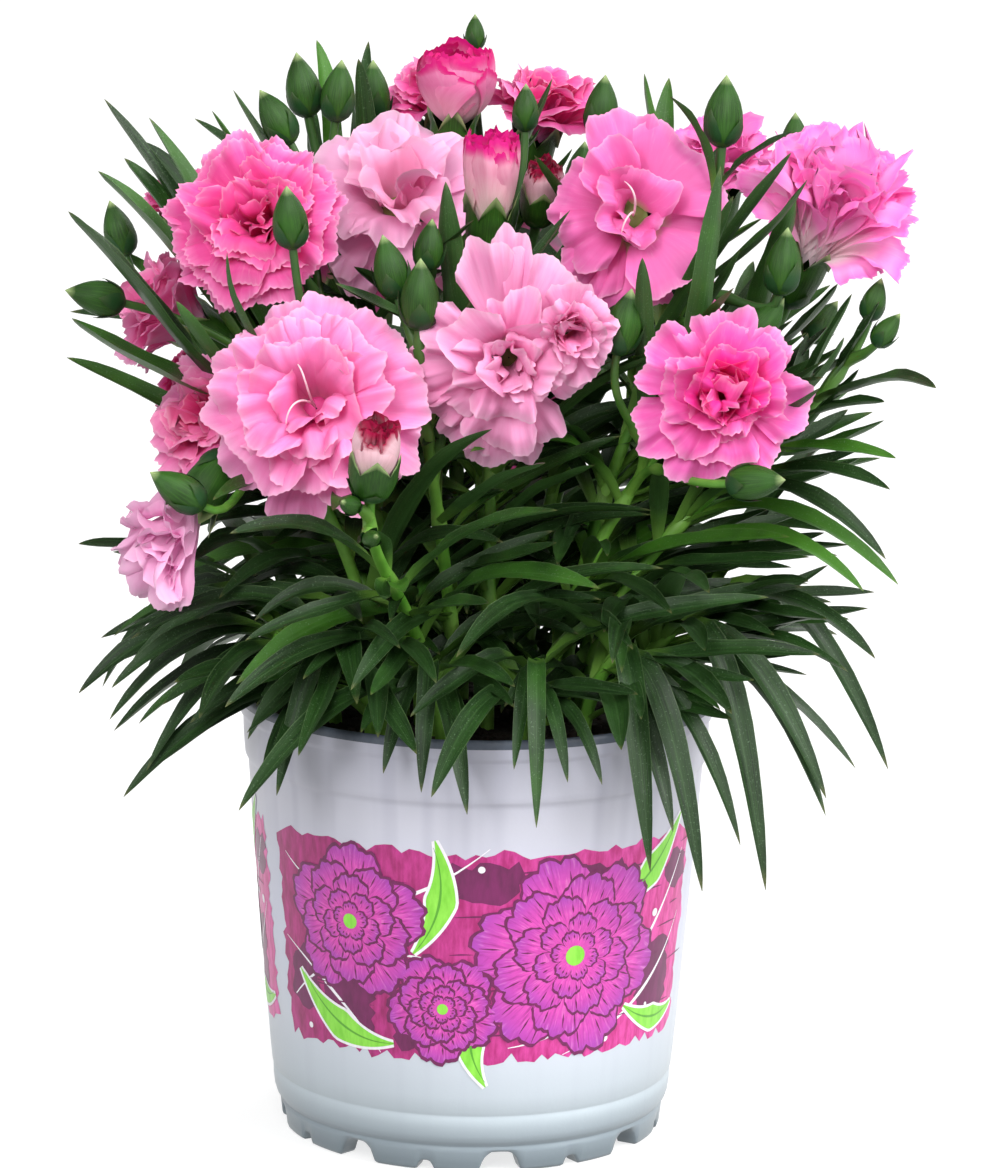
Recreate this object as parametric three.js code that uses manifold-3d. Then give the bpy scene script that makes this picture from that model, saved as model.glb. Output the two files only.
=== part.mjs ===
// A potted carnation (dianthus): a thin-walled nursery pot with its soil, leafy stems, and double blooms.
// Millimetres, +Z up. The origin is on the pot's axis, in the plane that the pot's feet stand on.
import * as THREE from "three";
import { mergeVertices } from "three/addons/utils/BufferGeometryUtils.js";
import Module from "manifold-3d";

const wasm = await Module();
wasm.setup();

// ---- Driving dimensions, in millimetres ----

const POT_SIDES = 32;
const FOOT_RADIUS = 52.5;
const FOOT_WIDTH = 6;
const FOOT_HEIGHT = 7;
const FOOT_COUNT = 8;
const NOTCH_WIDTH = 11;
const WALL = 1.3;
const SHOULDER_Z = 104;
const SHOULDER_RADIUS = 63.2;
const RIM_Z = 122;
const RIM_RADIUS = 65;
const FLOOR_TOP_Z = 10;
const DRAIN_RADIUS = 5;
const DRAIN_CIRCLE = 36;
const DRAIN_COUNT = 4;

const SOIL_Z = 116;
const SOIL_GAP = 0.6;
const SOIL_LUMP = 1.2;

const STEM_SIDES = 4;
const TWIG_SIDES = 3;
const STEM_FOOT_RADIUS = 1.9;
const STEM_TOP_RADIUS = 1.4;
const TWIG_RADIUS = 1.1;
const STEM_DEPTH = 13;
const HOLE_GAP = 0.6;
const HOLE_SIDES = 4;

const CALYX_SIDES = 8;
const BUD_SIDES = 5;
const CALYX_LENGTH = 18;
const CALYX_RADIUS = 6.2;
const CUP_DEPTH = 6;
const SEAT_GAP = 0.45;

const LEAF_KEEL = 1.1;
const CANOPY_RADIUS = 110;
const FIRST_LEAF_Z = 14;
const RIGHT_LEAF_LIFT = 23;
const CLEARANCE = 0.3;
const PETAL_THICKNESS = 0.9;
const FUSED_TOLERANCE = 0.05;

const COLOURS = {
  pot: 0xe6e9f2,
  soil: 0x2b211b,
  foliage: 0x2f6b3a,
  pink: 0xf07ab0,
  pale: 0xf3a9c8,
  hot: 0xee4f98,
  mauve: 0xe39ac6,
};

// ---- The plant: where each bloom, bud and stem is ----

// Blooms: at is the middle of the open face, facing the way it looks, form one of FORMS below.
const BLOOMS = [
  { name: "bloom_front_left", form: "full", tint: "pink", radius: 29,
    at: [-44, -75, 214], facing: [-0.15, -0.9, 0.4] },
  { name: "bloom_front_centre", form: "loose", tint: "pale", radius: 25,
    at: [8, -70, 223], facing: [0.1, -0.97, -0.05] },
  { name: "bloom_front_right", form: "full", tint: "pink", radius: 22.5,
    at: [62, -72, 216], facing: [0.1, -0.95, 0.2] },
  { name: "bloom_left_upper", form: "full", tint: "hot", radius: 25,
    at: [-59, -38, 255.5], facing: [-0.3, -0.8, 0.5] },
  { name: "bloom_centre_pale", form: "full", tint: "pale", radius: 26,
    at: [-24, 0, 262], facing: [-0.1, -0.65, 0.75] },
  { name: "bloom_right_upper", form: "loose", tint: "pink", radius: 24,
    at: [40, -35, 259], facing: [0.05, -0.95, 0.3] },
  { name: "bloom_far_right", form: "fan", tint: "pink", radius: 27,
    at: [92, -12, 256], facing: [0.3, -0.35, 0.85] },
  { name: "bloom_behind_right", form: "fan", tint: "pink", radius: 17,
    at: [66, 30, 266], facing: [0.1, -0.3, 0.95] },
  { name: "bloom_top", form: "cup", tint: "hot", radius: 10,
    at: [-8, 22, 287], facing: [0.05, -0.15, 1] },
  { name: "bloom_top_behind", form: "fan", tint: "hot", radius: 15,
    at: [-14, 52, 281], facing: [-0.3, -0.2, 0.93] },
  { name: "bloom_top_right", form: "fan", tint: "hot", radius: 17,
    at: [16, 37, 279], facing: [0.2, -0.2, 0.95] },
  { name: "bloom_centre_half_open", form: "cup", tint: "pink", radius: 7.5,
    at: [2, -25, 266], facing: [0.05, -0.2, 1] },
  { name: "bloom_centre_opening", form: "tip", tint: "hot", radius: 5,
    at: [16, -15, 265], facing: [0.1, -0.6, 0.8] },
  { name: "bloom_left_side", form: "fan", tint: "hot", radius: 19,
    at: [-71, -28, 202], facing: [-0.6, -0.65, 0.35] },
  { name: "bloom_left_drooping", form: "hanging", tint: "mauve", radius: 17,
    at: [-79, -64, 176], facing: [-0.5, -0.4, -0.77] },
  { name: "bloom_left_away", form: "fan", tint: "mauve", radius: 19,
    at: [-85, 0, 226], facing: [-0.85, 0.1, 0.5] },
  { name: "bloom_left_back", form: "fan", tint: "pink", radius: 12,
    at: [-83, 22, 254], facing: [-0.3, 0, 0.95] },
  { name: "bloom_front_opening", form: "tip", tint: "hot", radius: 6,
    at: [-26, -100, 207], facing: [0.1, -0.45, 0.88] },
  { name: "bloom_rear_left", form: "full", tint: "pink", radius: 22,
    at: [-46, 66, 226], facing: [-0.4, 0.75, 0.5] },
  { name: "bloom_rear_far_left", form: "full", tint: "hot", radius: 16,
    at: [-82, 46, 200], facing: [-0.75, 0.5, 0.4] },
  { name: "bloom_rear_centre", form: "full", tint: "pale", radius: 23,
    at: [2, 82, 234], facing: [0, 0.85, 0.5] },
  { name: "bloom_rear_low", form: "full", tint: "pink", radius: 19,
    at: [14, 92, 184], facing: [0.2, 0.95, 0.2] },
  { name: "bloom_rear_right", form: "full", tint: "hot", radius: 22,
    at: [50, 66, 228], facing: [0.4, 0.75, 0.5] },
  { name: "bloom_rear_far_right", form: "full", tint: "pink", radius: 16,
    at: [80, 54, 200], facing: [0.75, 0.5, 0.4] },
];

// Stems: root on the soil, the bloom or the point that the main stem ends at, side blooms and buds with
// the share of the main stem that they leave it at, and the tips of leaves that reach out the furthest.
const STEMS = [
  { name: "stem_front_left", root: [-15, -20], bloom: "bloom_front_left", buds: [
    { at: [-50, -60, 259], facing: [-0.1, -0.2, 1], length: 17, from: 0.7 }] },
  { name: "stem_front_centre", root: [3, -23], bloom: "bloom_front_centre" },
  { name: "stem_front_right", root: [19, -18], bloom: "bloom_front_right", buds: [
    { at: [37, -60, 233], facing: [0.2, -0.1, 1], length: 18, from: 0.55 },
    { at: [71, -84, 195.5], facing: [0.8, -0.5, 0.15], length: 17, from: 0.5 }] },
  { name: "stem_left_upper", root: [-20, -7], bloom: "bloom_left_upper", buds: [
    { at: [-57, 17, 277], facing: [-0.5, 0, 0.85], length: 17, from: 0.75 }],
    tips: [[-73, -8, 281]] },
  { name: "stem_centre_pale", root: [-9, 1], bloom: "bloom_centre_pale" },
  { name: "stem_right_upper", root: [13, -6], bloom: "bloom_right_upper" },
  { name: "stem_far_right", root: [28, 2], bloom: "bloom_far_right", buds: [
    { at: [86, 39, 271], facing: [0, 0, 1], length: 14, from: 0.7 }] },
  { name: "stem_behind_right", root: [20, 11], bloom: "bloom_behind_right", buds: [
    { at: [32, 20, 281], facing: [0.1, 0, 1], length: 17, from: 0.6 }],
    tips: [[44, 41, 288], [67, 50, 285]] },
  { name: "stem_top", root: [-4, 10], bloom: "bloom_top",
    sides: [{ bloom: "bloom_top_behind", from: 0.6 }] },
  { name: "stem_top_right", root: [5, 17], bloom: "bloom_top_right", buds: [
    { at: [-3, 38, 299], facing: [0, 0, 1], length: 10, from: 0.6 }] },
  { name: "stem_centre_half_open", root: [2, -9], bloom: "bloom_centre_half_open",
    sides: [{ bloom: "bloom_centre_opening", from: 0.72 }], buds: [
    { at: [11, 2, 282], facing: [0, 0, 1], length: 13, from: 0.7 }] },
  { name: "stem_left_side", root: [-26, -16], bloom: "bloom_left_side",
    tips: [[-110, -38, 256], [-106, -36, 215]] },
  { name: "stem_left_drooping", root: [-25, -31], bloom: "bloom_left_drooping", buds: [
    { at: [-78, -76, 190], facing: [-0.8, -0.2, 0.55], length: 17, from: 0.7 }] },
  { name: "stem_left_away", root: [-29, 3], bloom: "bloom_left_away",
    sides: [{ bloom: "bloom_left_back", from: 0.75 }], buds: [
    { at: [-103, -27, 233], facing: [-0.9, -0.4, 0.25], length: 17, from: 0.7 },
    { at: [-101, 32, 244], facing: [-0.3, 0.1, 0.95], length: 16, from: 0.6 }],
    tips: [[-103, 8, 268], [-91, 10, 277], [-109, -22, 227]] },
  { name: "stem_front_opening", root: [-12, -35], bloom: "bloom_front_opening", buds: [
    { at: [-33, -100, 191], facing: [-0.4, -0.85, 0.3], length: 9, from: 0.9 },
    { at: [-27, -98, 182], facing: [0.3, -0.85, 0.3], length: 8, from: 0.85 }] },
  { name: "stem_buds_top_left", root: [-13, 19],
    crown: { at: [-50, 26, 285], facing: [-0.2, 0, 1], length: 18 }, buds: [
    { at: [-40, 21, 284], facing: [0.1, 0, 1], length: 17, from: 0.8 },
    { at: [-31, 38, 282], facing: [0, 0, 1], length: 18, from: 0.7 }],
    tips: [[-54, 34, 296], [-35, 24, 302], [-68, 30, 284]] },
  { name: "stem_buds_right", root: [24, -8],
    crown: { at: [63, -30, 285], facing: [0.05, 0, 1], length: 19 }, buds: [
    { at: [79, -42, 247], facing: [0.1, 0, 1], length: 18, from: 0.7 },
    { at: [75, -40, 231], facing: [0.6, 0, 0.8], length: 15, from: 0.65 }],
    tips: [[50, -50, 284], [80, -46, 276], [65, -50, 270]] },
  { name: "stem_buds_middle", root: [-6, -25],
    crown: { at: [-16, -64, 240], facing: [0, -0.1, 1], length: 19 }, buds: [
    { at: [-24, -56, 246], facing: [-0.25, 0, 1], length: 17, from: 0.9 },
    { at: [-14, -42, 250], facing: [0.1, 0, 1], length: 14, from: 0.8 }] },
  { name: "stem_buds_far_right", root: [29, -14],
    crown: { at: [105, -18, 234], facing: [0.3, 0, 1], length: 12 }, buds: [
    { at: [108, -26, 227], facing: [0.6, 0, 0.8], length: 11, from: 0.88 }],
    tips: [[117, -75, 219], [106, -48, 211], [110, -42, 195], [108, -50, 188], [108, -43, 168],
      [112, -37, 160], [92, -60, 160]] },
  { name: "stem_rear_left", root: [-13, 30], bloom: "bloom_rear_left",
    sides: [{ bloom: "bloom_rear_far_left", from: 0.6 }], buds: [
    { at: [-20, 80, 258], facing: [0.1, 0.3, 1], length: 16, from: 0.65 }],
    tips: [[-118, 78, 214]] },
  { name: "stem_rear_right", root: [15, 26], bloom: "bloom_rear_right",
    sides: [{ bloom: "bloom_rear_far_right", from: 0.5 }], buds: [
    { at: [28, 84, 256], facing: [0.1, 0.3, 1], length: 17, from: 0.7 },
    { at: [94, 24, 222], facing: [0.6, 0.1, 0.8], length: 14, from: 0.55 }] },
  { name: "stem_rear_centre", root: [1, 32], bloom: "bloom_rear_centre",
    sides: [{ bloom: "bloom_rear_low", from: 0.6 }], buds: [
    { at: [-20, 96, 206], facing: [-0.4, 0.6, 0.7], length: 15, from: 0.65 }],
    tips: [[-8, 110, 226]] },
  { name: "shoot_front_far_left", root: [-28, -34], end: [-38, -46, 142], toward: [-0.5, -0.6, 0.6],
    tips: [[-52, -71, 108], [-46, -73, 126], [-60, -62, 121], [-74, -60, 124]] },
  { name: "shoot_front_left", root: [-9, -45], end: [-13, -54, 141], toward: [-0.1, -0.7, 0.7],
    tips: [[-14, -82, 112], [-24, -78, 116], [-2, -85, 107]] },
  { name: "shoot_front_right", root: [12, -43], end: [16, -53, 141], toward: [0.2, -0.7, 0.7],
    tips: [[16, -86, 104], [10, -80, 118], [24, -81, 115], [33, -79, 114]] },
  { name: "shoot_front_far_right", root: [29, -33], end: [39, -44, 143], toward: [0.5, -0.6, 0.6],
    tips: [[46, -79, 91], [60, -72, 84], [68, -68, 95], [52, -72, 100]] },
  { name: "shoot_right_low", root: [39, -20], end: [54, -30, 146], toward: [0.7, -0.4, 0.6],
    tips: [[77, -66, 83], [88, -62, 103], [93, -56, 101], [100, -47, 111]] },
  { name: "shoot_right", root: [44, -3], end: [66, -6, 152], toward: [0.9, -0.1, 0.5],
    tips: [[112, -22, 106], [106, -43, 141], [102, -30, 158]] },
  { name: "shoot_left_low", root: [-38, -21], end: [-55, -30, 143], toward: [-0.8, -0.4, 0.5],
    tips: [[-97, -47, 131], [-98, -41, 121], [-87, -57, 111], [-90, -60, 138]] },
  { name: "shoot_left", root: [-43, 0], end: [-63, 4, 151], toward: [-0.9, 0.1, 0.5],
    tips: [[-107, -32, 167], [-104, 14, 118], [-110, 22, 152]] },
  { name: "shoot_rear_left", root: [-32, 32], end: [-46, 46, 145], toward: [-0.6, 0.6, 0.6] },
  { name: "shoot_rear", root: [2, 46], end: [4, 62, 146], toward: [0, 0.8, 0.6] },
  { name: "shoot_rear_right", root: [34, 30], end: [50, 44, 147], toward: [0.7, 0.6, 0.6] },
];

// Layers of petals of each form: how many petals, where their rims end as shares of the radius, out from
// the bloom's axis and up along it, and how far out the gaps between them start. root is the ring that a
// layer grows from, heart the ring of young petals inside the last one. depth is how far the mouth of the
// calyx lies below the middle of the open face.
const FORMS = {
  full: { depth: 0.38, heart: [0.15, 0.5], eye: 0.34, layers: [
    { petals: 5, reach: 1, rise: 0.3, gap: 0.5, root: [0.18, 0.15] },
    { petals: 4, reach: 0.68, rise: 0.6, gap: 0.45, root: [0.3, 0.32] }] },
  loose: { depth: 0.38, heart: [0.15, 0.5], eye: 0.3, stretch: 0.16, layers: [
    { petals: 5, reach: 1, rise: 0.3, gap: 0.45, root: [0.18, 0.15] },
    { petals: 4, reach: 0.72, rise: 0.62, gap: 0.4, root: [0.3, 0.32] }] },
  fan: { depth: 0.45, heart: [0.15, 0.62], eye: 0.45, layers: [
    { petals: 5, reach: 1, rise: 0.5, gap: 0.5, root: [0.2, 0.17] },
    { petals: 4, reach: 0.62, rise: 0.85, gap: 0.45, root: [0.28, 0.42] }] },
  hanging: { depth: 0.5, heart: [0.14, 1.1], eye: 0.9, layers: [
    { petals: 5, reach: 0.8, rise: 1.6, gap: 0.5, root: [0.24, 0.2] },
    { petals: 4, reach: 0.4, rise: 1.5, gap: 0.4, root: [0.2, 0.5] }] },
  cup: { depth: 1, heart: [0.45, 1.75], eye: 1.3, layers: [
    { petals: 5, reach: 1, rise: 2, gap: 0.72, root: [0.95, 0.8] }] },
  tip: { depth: 0.8, heart: [0.8, 1.5], eye: 1.1, layers: [] },
};

// The rim of one petal, from the gap beside it: share of the petal's width, share of its reach, and
// the side that the wave of the edge lifts it to. The petals of an inner layer have a shorter rim.
const INNER_RIM = [
  { turn: 0, reach: 0, edge: 0 },
  { turn: 0.17, reach: 0.93, edge: -1 },
  { turn: 0.4, reach: 1.03, edge: 1 },
  { turn: 0.62, reach: 0.95, edge: -1 },
  { turn: 0.84, reach: 1.02, edge: 1 },
];
const PETAL_RIM = [
  { turn: 0, reach: 0, edge: 0 },
  { turn: 0.13, reach: 0.93, edge: -1 },
  { turn: 0.32, reach: 1.03, edge: 1 },
  { turn: 0.5, reach: 0.95, edge: -1 },
  { turn: 0.68, reach: 1.03, edge: 1 },
  { turn: 0.87, reach: 0.93, edge: -1 },
];
const RIM_WAVE = 0.05;
const PETAL_TWIST = 0.09;

// Rings of a leaf blade from its base to near its tip: shares of the length, the full width, the keel.
const LEAF_ROWS = [
  { share: 0, width: 0.18, keel: 0.6 },
  { share: 0.36, width: 1, keel: 1 },
  { share: 0.72, width: 0.84, keel: 1 },
];

// Ways to bend a leaf clear of its neighbours, tried in turn: degrees round the stem, share of its
// length that its tip is lifted by.
const LEAF_BENDS = [
  [0, 0], [4, 0], [-4, 0], [0, 0.06], [0, -0.06], [9, 0.04], [-9, 0.04], [15, 0], [-15, 0], [0, 0.16],
  [12, 0.16], [-12, 0.16], [24, 0.08], [-24, 0.08], [20, -0.12], [-20, -0.12], [34, 0], [-34, 0],
  [0, 0.3], [30, 0.25], [-30, 0.25], [0, -0.25], [48, 0.1], [-48, 0.1],
];

// ---- Small helpers ----

const radians = THREE.MathUtils.degToRad;
const vector = (list) => new THREE.Vector3(...list);

// A repeatable stream of numbers from 0 to 1.
function draws(seed) {
  let state = seed >>> 0;
  return () => {
    state = (state + 0x6d2b79f5) >>> 0;
    let t = Math.imul(state ^ (state >>> 15), state | 1);
    t = (t + Math.imul(t ^ (t >>> 7), t | 61)) ^ t;
    return ((t ^ (t >>> 14)) >>> 0) / 4294967296;
  };
}

function solidOf(geometry) {
  const bare = geometry.clone();
  bare.deleteAttribute("normal");
  bare.deleteAttribute("uv");
  const merged = mergeVertices(bare, 1e-4);
  return new wasm.Manifold(
    new wasm.Mesh({
      numProp: 3,
      vertProperties: new Float32Array(merged.attributes.position.array),
      triVerts: new Uint32Array(merged.index.array),
    }),
  );
}

// The same solid without the points that a cut or a join leaves along its edges.
function thinned(solid, tolerance) {
  return solid.asOriginal().simplify(tolerance);
}

function geometryOf(solid) {
  const mesh = solid.getMesh();
  const geometry = new THREE.BufferGeometry();
  geometry.setAttribute("position", new THREE.BufferAttribute(mesh.vertProperties, 3));
  geometry.setIndex(new THREE.BufferAttribute(mesh.triVerts, 1));
  geometry.computeVertexNormals();
  return geometry;
}

function bodyOf(points, faces) {
  const geometry = new THREE.BufferGeometry().setFromPoints(points);
  geometry.setIndex(faces.flat());
  return solidOf(geometry);
}

// The triangles between two closed rings that start side by side, whatever their numbers of points.
function zip(low, high) {
  const faces = [];
  let i = 0;
  let j = 0;
  while (i < low.length || j < high.length) {
    const lowNext = (i + 1) / low.length;
    const highNext = (j + 1) / high.length;
    const here = low[i % low.length];
    const there = high[j % high.length];
    if (i >= low.length || highNext < lowNext - 1e-9) {
      faces.push([here, high[(j + 1) % high.length], there]);
      j += 1;
    } else {
      faces.push([here, low[(i + 1) % low.length], there]);
      i += 1;
    }
  }
  return faces.filter(([a, b, c]) => a !== b && b !== c && c !== a);
}

// A closed body through rings of points, each ring anticlockwise about the way the rings follow each
// other. A ring of one point closes an end to a tip; any other end ring is closed flat.
function ringBody(rings) {
  let total = 0;
  const index = rings.map((ring) => ring.map(() => total++));
  const faces = [];
  for (let r = 0; r + 1 < rings.length; r += 1) faces.push(...zip(index[r], index[r + 1]));
  const first = index[0];
  const last = index[index.length - 1];
  for (let i = 1; i + 1 < first.length; i += 1) faces.push([first[0], first[i + 1], first[i]]);
  for (let i = 1; i + 1 < last.length; i += 1) faces.push([last[0], last[i], last[i + 1]]);
  return bodyOf(rings.flat(), faces);
}

// ---- Pot and soil ----

function lathe(profile, sides) {
  const points = profile.map(([radius, z]) => new THREE.Vector2(radius, z));
  return new THREE.LatheGeometry(points, sides).rotateX(Math.PI / 2);
}

function innerRadius(z) {
  const share = (z - FLOOR_TOP_Z) / (SHOULDER_Z - FLOOR_TOP_Z);
  const foot = FOOT_RADIUS + 1.1;
  return foot + (SHOULDER_RADIUS - foot) * share - WALL;
}

function potShell() {
  const footInner = FOOT_RADIUS - FOOT_WIDTH;
  const profile = [
    [0, FOOT_HEIGHT],
    [footInner - 1, FOOT_HEIGHT],
    [footInner, 0],
    [FOOT_RADIUS - 1, 0],
    [FOOT_RADIUS, 1.5],
    [FOOT_RADIUS + 0.9, FOOT_HEIGHT],
    [FOOT_RADIUS + 1.1, FLOOR_TOP_Z],
    [SHOULDER_RADIUS, SHOULDER_Z],
    [RIM_RADIUS - 1.2, RIM_Z - 4.5],
    [RIM_RADIUS, RIM_Z - 3.8],
    [RIM_RADIUS, RIM_Z - 0.5],
    [RIM_RADIUS - 1.6, RIM_Z],
    [RIM_RADIUS - 2.6, RIM_Z - 4],
    [innerRadius(SHOULDER_Z), SHOULDER_Z],
    [innerRadius(FLOOR_TOP_Z) - 1, FLOOR_TOP_Z],
    [0, FLOOR_TOP_Z],
  ];
  return solidOf(lathe(profile, POT_SIDES));
}

// The arched gap between two feet, cut right through the foot ring.
function footNotch(angle) {
  const half = NOTCH_WIDTH / 2;
  const outline = new THREE.Shape();
  outline.moveTo(-half, -1);
  outline.lineTo(half, -1);
  outline.lineTo(half - 1, FOOT_HEIGHT - 3.2);
  outline.lineTo(half - 3.2, FOOT_HEIGHT - 1.4);
  outline.lineTo(3.2 - half, FOOT_HEIGHT - 1.4);
  outline.lineTo(1 - half, FOOT_HEIGHT - 3.2);
  outline.closePath();
  const cut = new THREE.ExtrudeGeometry(outline, { depth: 14, bevelEnabled: false });
  cut.rotateX(Math.PI / 2);
  cut.translate(0, FOOT_RADIUS + 4, 0);
  return solidOf(cut.rotateZ(angle));
}

function drainHole(x, y) {
  const cut = new THREE.CylinderGeometry(DRAIN_RADIUS, DRAIN_RADIUS, 8, 6).rotateX(Math.PI / 2);
  return solidOf(cut.translate(x, y, FLOOR_TOP_Z - 2));
}

function makePot() {
  const cuts = [drainHole(0, 0)];
  for (let i = 0; i < FOOT_COUNT; i += 1) {
    cuts.push(footNotch((i + 0.2) * 2 * Math.PI / FOOT_COUNT));
  }
  for (let i = 0; i < DRAIN_COUNT; i += 1) {
    const angle = i * 2 * Math.PI / DRAIN_COUNT;
    cuts.push(drainHole(DRAIN_CIRCLE * Math.cos(angle), DRAIN_CIRCLE * Math.sin(angle)));
  }
  return thinned(potShell().subtract(wasm.Manifold.union(cuts)), 0.01);
}

function makeSoil() {
  const edgeZ = SOIL_Z - 2;
  const bottomZ = FLOOR_TOP_Z + 0.4;
  const bottomRadius = innerRadius(bottomZ) - SOIL_GAP - 1;
  const topRadius = innerRadius(SHOULDER_Z) - SOIL_GAP;
  const profile = [
    [0, bottomZ],
    [bottomRadius, bottomZ],
    [topRadius, SHOULDER_Z],
    [topRadius, edgeZ],
    [50, SOIL_Z],
    [30, SOIL_Z],
    [0, SOIL_Z],
  ];
  const geometry = lathe(profile, 16);
  const place = geometry.attributes.position;
  for (let i = 0; i < place.count; i += 1) {
    const x = place.getX(i);
    const y = place.getY(i);
    if (place.getZ(i) > edgeZ + 0.5) {
      const lump = Math.sin(0.31 * x + 1.1) * Math.cos(0.27 * y) + 0.6 * Math.sin(0.19 * x - 0.43 * y);
      place.setZ(i, place.getZ(i) + SOIL_LUMP * lump * 0.6);
    }
  }
  const holes = STEMS.map(({ root }) => stemHole(root));
  return thinned(solidOf(geometry).subtract(wasm.Manifold.union(holes)), 0.1);
}

function stemHole([x, y]) {
  const radius = (STEM_FOOT_RADIUS + HOLE_GAP) / Math.cos(Math.PI / HOLE_SIDES);
  const top = SOIL_Z + 6;
  const bottom = SOIL_Z - STEM_DEPTH - CLEARANCE;
  const cut = new THREE.CylinderGeometry(radius, radius, top - bottom, HOLE_SIDES).rotateX(Math.PI / 2);
  return solidOf(cut.translate(x, y, (top + bottom) / 2));
}

// ---- Frames and paths ----

function ringAt(centre, frame, radius, sides, lift = () => 0, turn = 0) {
  return Array.from({ length: sides }, (_, i) => {
    const angle = turn + i * 2 * Math.PI / sides;
    return centre.clone()
      .addScaledVector(frame.up, radius * Math.cos(angle))
      .addScaledVector(frame.side, radius * Math.sin(angle))
      .addScaledVector(frame.axis, lift(i));
  });
}

// A way out from an axis, at an angle round it.
function outward(frame, angle) {
  return frame.up.clone().multiplyScalar(Math.cos(angle)).addScaledVector(frame.side, Math.sin(angle));
}

// Axes across a stem at a point of its path: side stays level, across the way that the stem leans.
function frameOnPath(path, share, level) {
  const axis = path.getTangent(share);
  const up = level.clone().addScaledVector(axis, -level.dot(axis)).normalize();
  const side = new THREE.Vector3().crossVectors(axis, up);
  return { axis, up, side };
}

function levelAcross(start, end) {
  const lean = new THREE.Vector3(end.x - start.x, end.y - start.y, 0);
  if (lean.length() < 1) return new THREE.Vector3(1, 0, 0);
  lean.normalize();
  return new THREE.Vector3(-lean.y, lean.x, 0);
}

function calyxSize(bloom) {
  const small = bloom.form === "tip";
  return { length: small ? 13 : CALYX_LENGTH, radius: small ? bloom.radius + 0.6 : CALYX_RADIUS };
}

// The mouth, where petals leave the calyx, and the base, where the stem ends.
function bloomPlaces(bloom) {
  const axis = vector(bloom.facing).normalize();
  const mouth = vector(bloom.at).addScaledVector(axis, -FORMS[bloom.form].depth * bloom.radius);
  const base = mouth.clone().addScaledVector(axis, -calyxSize(bloom).length);
  return { axis, mouth, base };
}

const isTall = (stem) => Boolean(stem.bloom || stem.crown);
const bloomNamed = (name) => BLOOMS.find((bloom) => bloom.name === name);

// ---- Blooms ----

// The rim of a layer of petals as two rings of points, its underside and its top.
function petalRims(bloom, frame, mouth, layer, outline, random) {
  const { radius } = bloom;
  const stretch = FORMS[bloom.form].stretch || 0;
  const root = { out: layer.root[0] * radius, up: layer.root[1] * radius };
  const slope = Math.atan2(layer.rise * radius - root.up, layer.reach * radius - root.out);
  const shift = random();
  const rim = [];
  for (let petal = 0; petal < layer.petals; petal += 1) {
    const reach = layer.reach * (0.93 + 0.12 * random());
    const rise = layer.rise * (0.9 + 0.2 * random());
    for (const { turn, reach: share, edge } of outline) {
      const angle = ((shift + petal + turn) * 2 * Math.PI / layer.petals) % (2 * Math.PI);
      const out = outward(frame, angle);
      const tall = 1 + stretch * (2 * out.z * out.z - 1);
      const way = turn === 0 ? layer.gap : share;
      const lift = edge * RIM_WAVE * radius + (turn === 0 ? 0 : (turn - 0.5) * 2 * PETAL_TWIST * radius);
      const point = mouth.clone()
        .addScaledVector(out, root.out + (reach * radius * tall - root.out) * way - Math.sin(slope) * lift)
        .addScaledVector(frame.axis, root.up + (rise * radius - root.up) * way + Math.cos(slope) * lift);
      const top = point.clone()
        .addScaledVector(out, -Math.sin(slope) * PETAL_THICKNESS)
        .addScaledVector(frame.axis, Math.cos(slope) * PETAL_THICKNESS);
      rim.push({ angle, point, top });
    }
  }
  rim.sort((a, b) => a.angle - b.angle);
  return [rim.map(({ point }) => point), rim.map(({ top }) => top)];
}

// A bloom is one body of rings: its seat in the calyx, the throat, and layer upon layer of petals.
function makeBloom(bloom, number) {
  const { mouth } = bloomPlaces(bloom);
  const frame = BLOOM_FRAMES.get(bloom.name);
  const size = calyxSize(bloom);
  const form = FORMS[bloom.form];
  const { radius } = bloom;
  const tip = (height) => mouth.clone().addScaledVector(frame.axis, height);
  const ring = (out, up, ruffle = 0) => ringAt(
    tip(up), frame, out, CALYX_SIDES, (i) => (i % 2 === 0 ? ruffle : -ruffle));
  const random = draws(1000 + number);
  const seat = 0.8;
  const rings = [[tip(SEAT_GAP - CUP_DEPTH)], ring(seat * size.radius, SEAT_GAP - (1 - seat) * CUP_DEPTH)];
  form.layers.forEach((layer, i) => {
    rings.push(ring(layer.root[0] * radius, Math.max(layer.root[1] * radius, 3)));
    rings.push(...petalRims(bloom, frame, mouth, layer, i > 0 ? INNER_RIM : PETAL_RIM, random));
  });
  if (form.layers.length === 0) rings.push(ring(radius, 5));
  rings.push(ring(form.heart[0] * radius, form.heart[1] * radius, 0.04 * radius));
  rings.push([tip(form.eye * radius)]);
  return ringBody(rings);
}

// ---- Stems, calyxes, buds and leaves ----

// The rings of a calyx, from above its base to the bottom of its cup.
function calyxRings(bloom, frame) {
  const { mouth, base } = bloomPlaces(bloom);
  const size = calyxSize(bloom);
  const at = (share) => base.clone().addScaledVector(frame.axis, share * size.length);
  return [
    ringAt(at(0.22), frame, size.radius * 0.8, CALYX_SIDES),
    ringAt(at(0.6), frame, size.radius * 0.97, CALYX_SIDES),
    ringAt(mouth, frame, size.radius, CALYX_SIDES),
    [mouth.clone().addScaledVector(frame.axis, -CUP_DEPTH)],
  ];
}

function budRadius(bud) {
  return bud.length * 0.31;
}

function budBase(bud) {
  return vector(bud.at).addScaledVector(vector(bud.facing).normalize(), -bud.length / 2);
}

function budRings(bud, frame) {
  const base = budBase(bud);
  const radius = budRadius(bud);
  const at = (share) => base.clone().addScaledVector(frame.axis, share * bud.length);
  return [
    ringAt(at(0.28), frame, radius * 0.95, BUD_SIDES),
    ringAt(at(0.62), frame, radius * 0.95, BUD_SIDES),
    [at(1)],
  ];
}

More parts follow.
